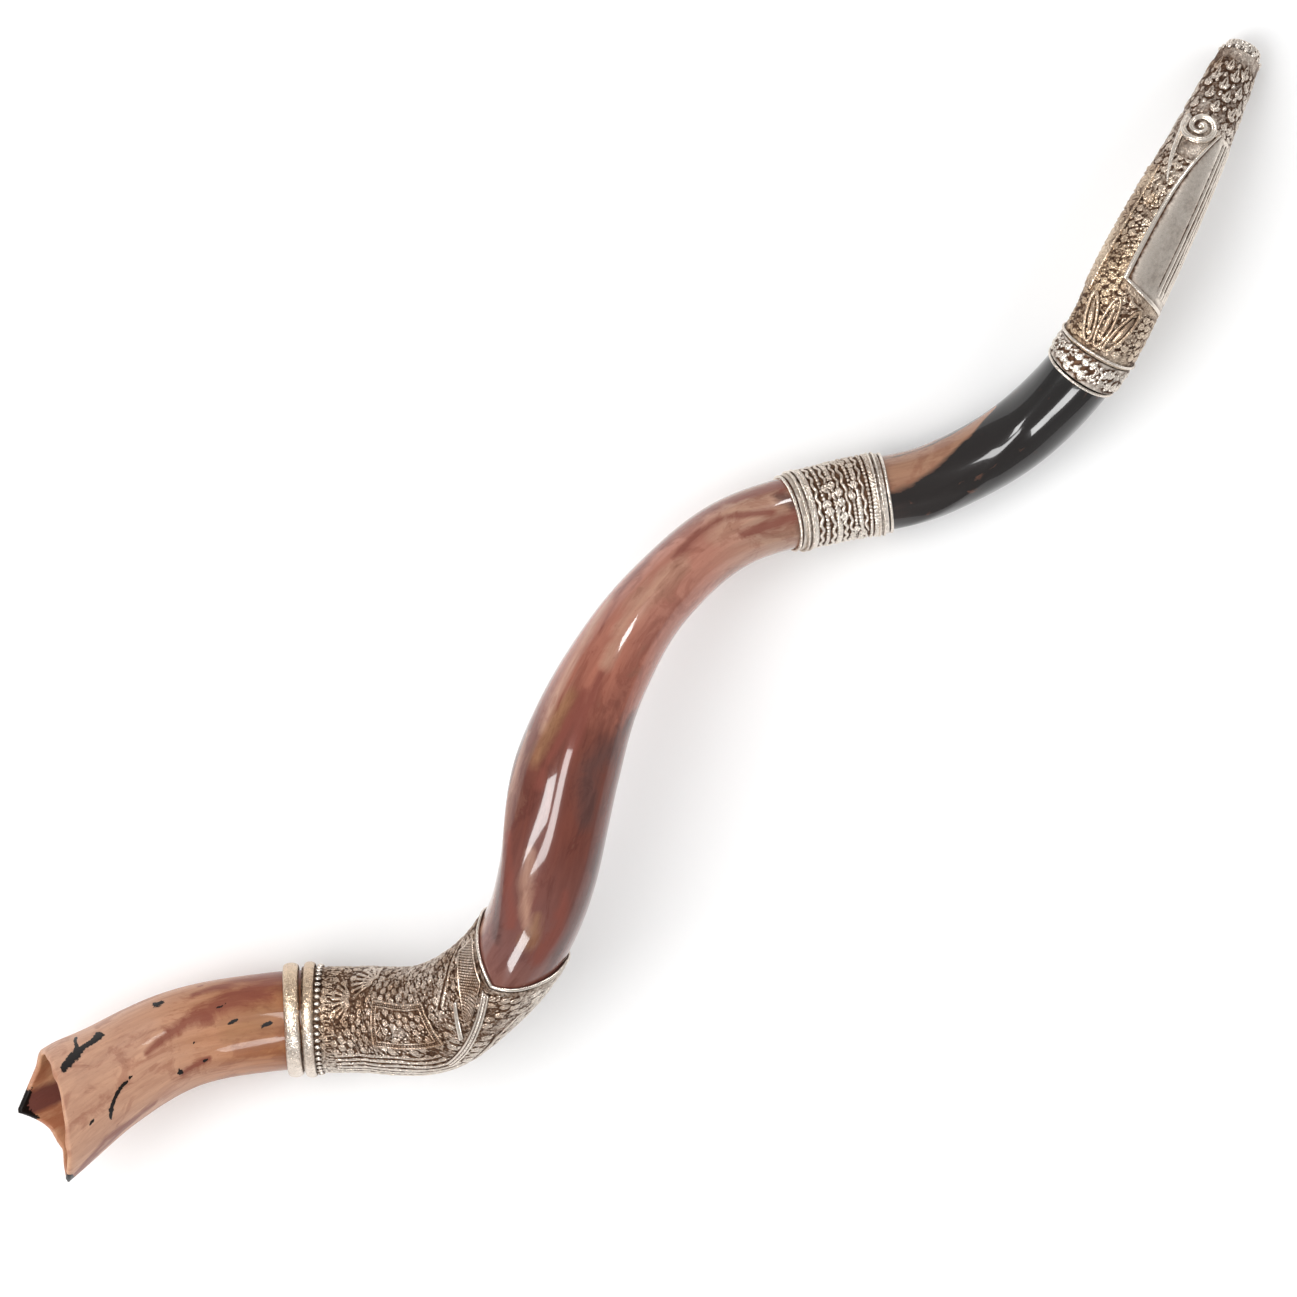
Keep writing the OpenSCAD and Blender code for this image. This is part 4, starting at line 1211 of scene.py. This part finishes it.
def mouth_volute():
    parts = []
    for lift, shift, r in ((3.0, 0.0, 1.25), (2.5, -1.7, 0.9), (2.3, 1.1, 0.6)):
        t = np.linspace(0, 1, 70)
        w = np.radians(360 * 2.0 * t + 300)
        reach = (VOLUTE_R + shift) * (0.06 + 0.94 * t)
        u = VOLUTE_U + reach * np.cos(w) / STATION_MM
        a = VOLUTE_A + reach * np.sin(w) * VOLUTE_TURN
        k = np.linspace(0.08, 1, 40)
        tail_u = u[-1] + (17.66 - u[-1]) * k
        tail_a = a[-1] + (70 - a[-1]) * k**1.6 - 3 * np.sin(math.pi * k)
        u, a = np.concatenate([u, tail_u]), np.concatenate([a, tail_a])
        thick = r * np.interp(np.arange(len(u)), [0, 12, 70, 110], [0.8, 1, 1, 0.45])
        parts.append(skin_wire(f"volute.{lift}", u, a, lift, thick, BRIGHT))
    boss = [(skin(VOLUTE_U, VOLUTE_A, 2.6), *stand(VOLUTE_U, VOLUTE_A), (1.7, 1.7, 1.4))]
    parts.append(bead_ring("volute.boss", boss, BRIGHT, 16))
    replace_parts(joined("mouth_volute_scroll", parts), "mouth_volute")


def mouth_panel():
    def panel_spot(s, t):
        near = panel_near(s)
        return PANEL_START + PANEL_REACH * s - PANEL_SKEW * t * (1 - s), near + (PANEL_FAR - near) * t

    length, width = 92, 28
    chase = Chasing(length, width, 0.42, closed=False)

    def along_it(a, first, final):
        """A line at a steady angle a on the sleeve, in the panel's own x and y."""
        s = np.linspace(first, final, 30)
        return np.column_stack([s * length, (a - panel_near(s)) / (PANEL_FAR - panel_near(s)) * width])

    chase.ridge([(0.8, 1.3), (length - 0.8, 1.3)], 1.2, 0.9)
    chase.ridge([(1.2, 1.2), (1.2, width - 1.2)], 1.0, 0.5)
    for a, final in ((134, 0.96), (143, 0.97), (151, 0.97), (159, 0.97), (166, 0.97)):
        chase.groove(along_it(a, 0.12, final), 0.8, 0.3)
        chase.ridge(along_it(a + 4, 0.08, final), 0.9, 0.35)
    piece = plate_piece("mouth_panel_smooth", panel_spot, chase, BRIGHT, base=2.4, crown=0.25)
    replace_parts(piece, "mouth_panel")


def mouth_vine():
    start, end, leaves = 16.6, 17.8, 7

    def vine_spot(s, t):
        lobe = np.abs(np.sin(math.pi * leaves * (s - 0.06 * (1 - t)))) ** 0.45
        low = (20 + 8 * s) * (1 - lobe) - 16 * lobe
        high = 34 + 8 * s
        return start + (end - start) * s, low + (high - low) * t

    length, width = length_to(end) - length_to(start), 17
    chase = Chasing(length, width, 0.36, closed=False)
    chase.rise += 0.35
    for k in range(leaves):
        x = (k + 0.5) * length / leaves
        chase.leaf(x - 5.5, 5.0, -18, 9.5, 2.4, 1.0)
        chase.leaf(x - 4.0, 9.0, 55, 6.5, 1.5, 0.8)
        chase.leaf(x + 1.0, 9.5, -60, 5.5, 1.3, 0.8)
        chase.curl(x + 2.6, 12.2, 2.3, 180, 1.3, 0.55, 0.8, 1)
        chase.curl(x - 3.0, 13.0, 1.9, 0, 1.2, 0.5, 0.7, -1)
        chase.dome(x + 4.2, 5.0, 1.2, 1.0)
        chase.dome(x + 5.4, 8.0, 0.8, 0.8)
    stem = [(length * k / 60, 10.5 + 1.4 * math.sin(k * math.pi * leaves / 30)) for k in range(61)]
    chase.ridge(stem, 0.7, 0.8)
    chase.ridge([(0.8, width - 0.9), (length - 0.8, width - 0.9)], 0.8, 0.8)
    piece = plate_piece("mouth_vine_leaves", vine_spot, chase, GILT, base=2.2)
    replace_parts(piece, "mouth_vine")


def mouth_rosette():
    u, a = 17.48, 58
    out, forward, side = stand(u, a)
    middle = Vector(skin(u, a, 2.6))
    spots = [(middle + out * 0.2 * MM, out, forward, side, (2.5, 2.5, 1.8))]
    for k in range(8):
        w = 2 * math.pi * k / 8
        way = math.cos(w) * forward + math.sin(w) * side
        spots.append((middle + way * 3.5 * MM - out * 0.3 * MM, out, way, out.cross(way), (1.6, 1.3, 0.9)))
    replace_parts(bead_ring("mouth_rosette_petals", spots, GILT, 14), "mouth_rosette")


def mouth_palmette():
    start, middle = 16.2, 84
    parts = []
    for k in range(3):
        lean = (k - 1) * 36
        reach = 0.46 - 0.0012 * abs(lean)
        w = np.linspace(0, 2 * math.pi, 60, endpoint=False)
        f = (1 - np.cos(w)) / 2
        u = start + reach * f
        a = middle + lean * (0.4 + 0.6 * f) + 9 * np.sin(w)
        parts.append(skin_wire(f"loop.{k}", u, a, 2.6, 1.1, GILT, closed=True))
        f = np.linspace(0.2, 0.86, 24)
        thick = 0.4 + 1.7 * np.sin(np.linspace(0.2, math.pi, 24))
        a = middle + lean * (0.4 + 0.6 * f)
        parts.append(skin_wire(f"tongue.{k}", start + reach * f, a, 2.1, thick, GILT))
    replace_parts(joined("mouth_palmette_loops", parts), "mouth_palmette")


mouth_volute()
mouth_panel()
mouth_vine()
mouth_rosette()
mouth_palmette()


def mouth_end():
    """The lip is turned with a flared, gadrooned edge; leaves and beads stand behind it."""
    along, side, up = axes(float(LAST))
    middle = STATIONS[-1, :3] + SHIFT
    # The lip's section: mm behind the end, and mm out from the bore
    line = np.array([
        (-6.0, 0), (-3.0, 0), (-1.3, 0), (-0.5, 0.25), (-0.1, 0.8), (0.0, 1.4), (-0.25, 2.1), (-0.8, 2.5),
        (-1.5, 2.6), (-2.2, 2.35), (-2.8, 2.15), (-4.4, LIP_WALL), (-6.0, LIP_WALL)]) + (0, BORE_R)
    reach = np.concatenate([[0], np.cumsum(np.linalg.norm(np.diff(line, axis=0), axis=1))])
    fine = np.linspace(0, reach[-1], 44)
    x, r = np.interp(fine, reach, line[:, 0]), np.interp(fine, reach, line[:, 1])
    x, r = np.append(x, x[0]), np.append(r, r[0])
    w = np.linspace(0, 2 * math.pi, 241)
    lobes = np.abs(np.cos(w * 10)) ** 0.7
    on_edge = np.exp(-((x + 1.2) / 1.1) ** 2) * np.clip((r - BORE_R - 1.2) / 0.8, 0, 1)
    radius = r[:, None] - 0.45 * on_edge[:, None] * (1 - lobes)[None, :]
    ring = np.cos(w)[:, None] * side + np.sin(w)[:, None] * up
    points = (middle + x[:, None, None] * along + radius[..., None] * ring[None]) * MM
    hollow = np.clip((1 - lobes)[None, :] * on_edge[:, None] * 0.9 + 0.5 * (x < -4)[:, None], 0, 1)
    worn = on_edge[:, None] * lobes[None, :]
    piece = grid_piece("mouth_rim_turned", points, BRIGHT, {"hollow": hollow, "worn": worn})
    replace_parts(piece, "mouth_rim")
    spots = []
    forward = Vector(along)
    for k in range(15):
        for shift, back, r, radii in ((0, 6.6, 10.4 + SLEEVE_OUT, (1.5, 1.35, 1.1)),
                                      (0.5, 3.9, BORE_R + LIP_WALL, (2.3, 1.15, 0.7))):
            w = 2 * math.pi * (k + shift) / 15
            out = Vector(math.cos(w) * side + math.sin(w) * up)
            centre = Vector(middle * MM) - forward * back * MM + out * r * MM
            spots.append((centre, out, forward, out.cross(forward), radii))
    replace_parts(bead_ring("mouth_beads_cast", spots, WHITE_SILVER, 14), "mouth_beads")


mouth_end()

for name in ("mouth_bedding", "middle_bedding", "elbow_bedding"):
    node = frame["nodes"][name]
    node.data.materials.clear()
    node.data.materials.append(PITCH)


# ---------------------------------------------------------------------------------------------
# Table, lights and camera
# ---------------------------------------------------------------------------------------------
def table():
    bm = bmesh.new()
    bmesh.ops.create_grid(bm, x_segments=1, y_segments=1, size=3.0)
    bmesh.ops.translate(bm, verts=bm.verts, vec=(0, 0, -0.0006))
    mesh = bpy.data.meshes.new("table")
    bm.to_mesh(mesh)
    bm.free()
    floor = bpy.data.objects.new("table", mesh)
    bpy.context.scene.collection.objects.link(floor)
    material, tree, shader = new_material("pale table")
    place = add(tree, "TexCoord").outputs["Object"]
    cloth = noise(tree, place, 3.0, 2.0, 0.5)
    colour = blend(tree, cloth, (0.93, 0.93, 0.93, 1), (0.95, 0.95, 0.95, 1))
    tree.links.new(colour, shader.inputs["Base Color"])
    shader.inputs["Roughness"].default_value = 0.9
    shader.inputs["Specular IOR Level"].default_value = 0.1
    shader.inputs["Emission Color"].default_value = (1, 1, 1, 1)
    shader.inputs["Emission Strength"].default_value = 0.1
    mesh.materials.append(material)


table()


def softbox(name, direction, distance, size, watts, long_way=(1, 0, 0)):
    """A panel light aimed at the middle of the horn, its long side along a given way."""
    light = bpy.data.lights.new(name, "AREA")
    light.shape = "RECTANGLE"
    light.size, light.size_y = size
    light.energy = watts
    lamp = bpy.data.objects.new(name, light)
    bpy.context.scene.collection.objects.link(lamp)
    way = Vector(direction).normalized()
    across = way.cross(Vector(long_way)).normalized()
    turn = Matrix((across.cross(way), across, way)).transposed()
    lamp.matrix_world = Matrix.Translation((cad_box[0] + cad_box[1]) / 2 + way * distance) @ turn.to_4x4()
    return lamp


for name, direction, size, watts in (
        ("key panel", (-0.62, 0.17, 0.76), (2.4, 2.0), 38),
        ("fill panel", (0.75, -0.55, 0.6), (2.0, 2.0), 15),
        ("top panel", (0.1, 0.5, 1.0), (2.0, 1.2), 11)):
    panel = softbox(name, direction, 2.4, size, watts)
    panel.visible_glossy = False
for name, direction, size, watts, long_way in (
        ("left glint", (-0.445, 0.411, 0.795), (0.5, 0.6), 13, (0.666, 0.746, 0)),
        ("long glint", (-0.211, 0.151, 0.87), (1.1, 0.45), 18, (0.546, 0.371, 0)),
        ("near glint", (-0.493, -0.552, 0.6), (0.6, 0.34), 9, (0, -1, 0)),
        ("far glint", (0.704, 0.327, 0.631), (0.28, 0.28), 5, (1, 0, 0))):
    panel = softbox(name, direction, 2.0, size, watts, long_way)
    panel.visible_diffuse = False

world = bpy.data.worlds.new("studio")
world.use_nodes = True
world.node_tree.nodes["Background"].inputs["Color"].default_value = (1, 1, 1, 1)
world.node_tree.nodes["Background"].inputs["Strength"].default_value = 0.52
bpy.context.scene.world = world
bpy.context.scene.view_settings.view_transform = "Standard"

VIEW_TURN = -41.75
VIEW_HEIGHT = 12.0
VIEW_WIDTH = 0.726
camera_data = bpy.data.cameras.new("camera")
camera_data.sensor_width = 36
camera_data.lens = 36 * (VIEW_HEIGHT - 0.06) / VIEW_WIDTH
camera_data.clip_end = 30
camera = bpy.data.objects.new("camera", camera_data)
camera.location = (-0.019, 0.0245, VIEW_HEIGHT)
camera.rotation_euler = (0, 0, math.radians(VIEW_TURN))
bpy.context.scene.collection.objects.link(camera)
bpy.context.scene.camera = camera

bpy.context.view_layer.update()
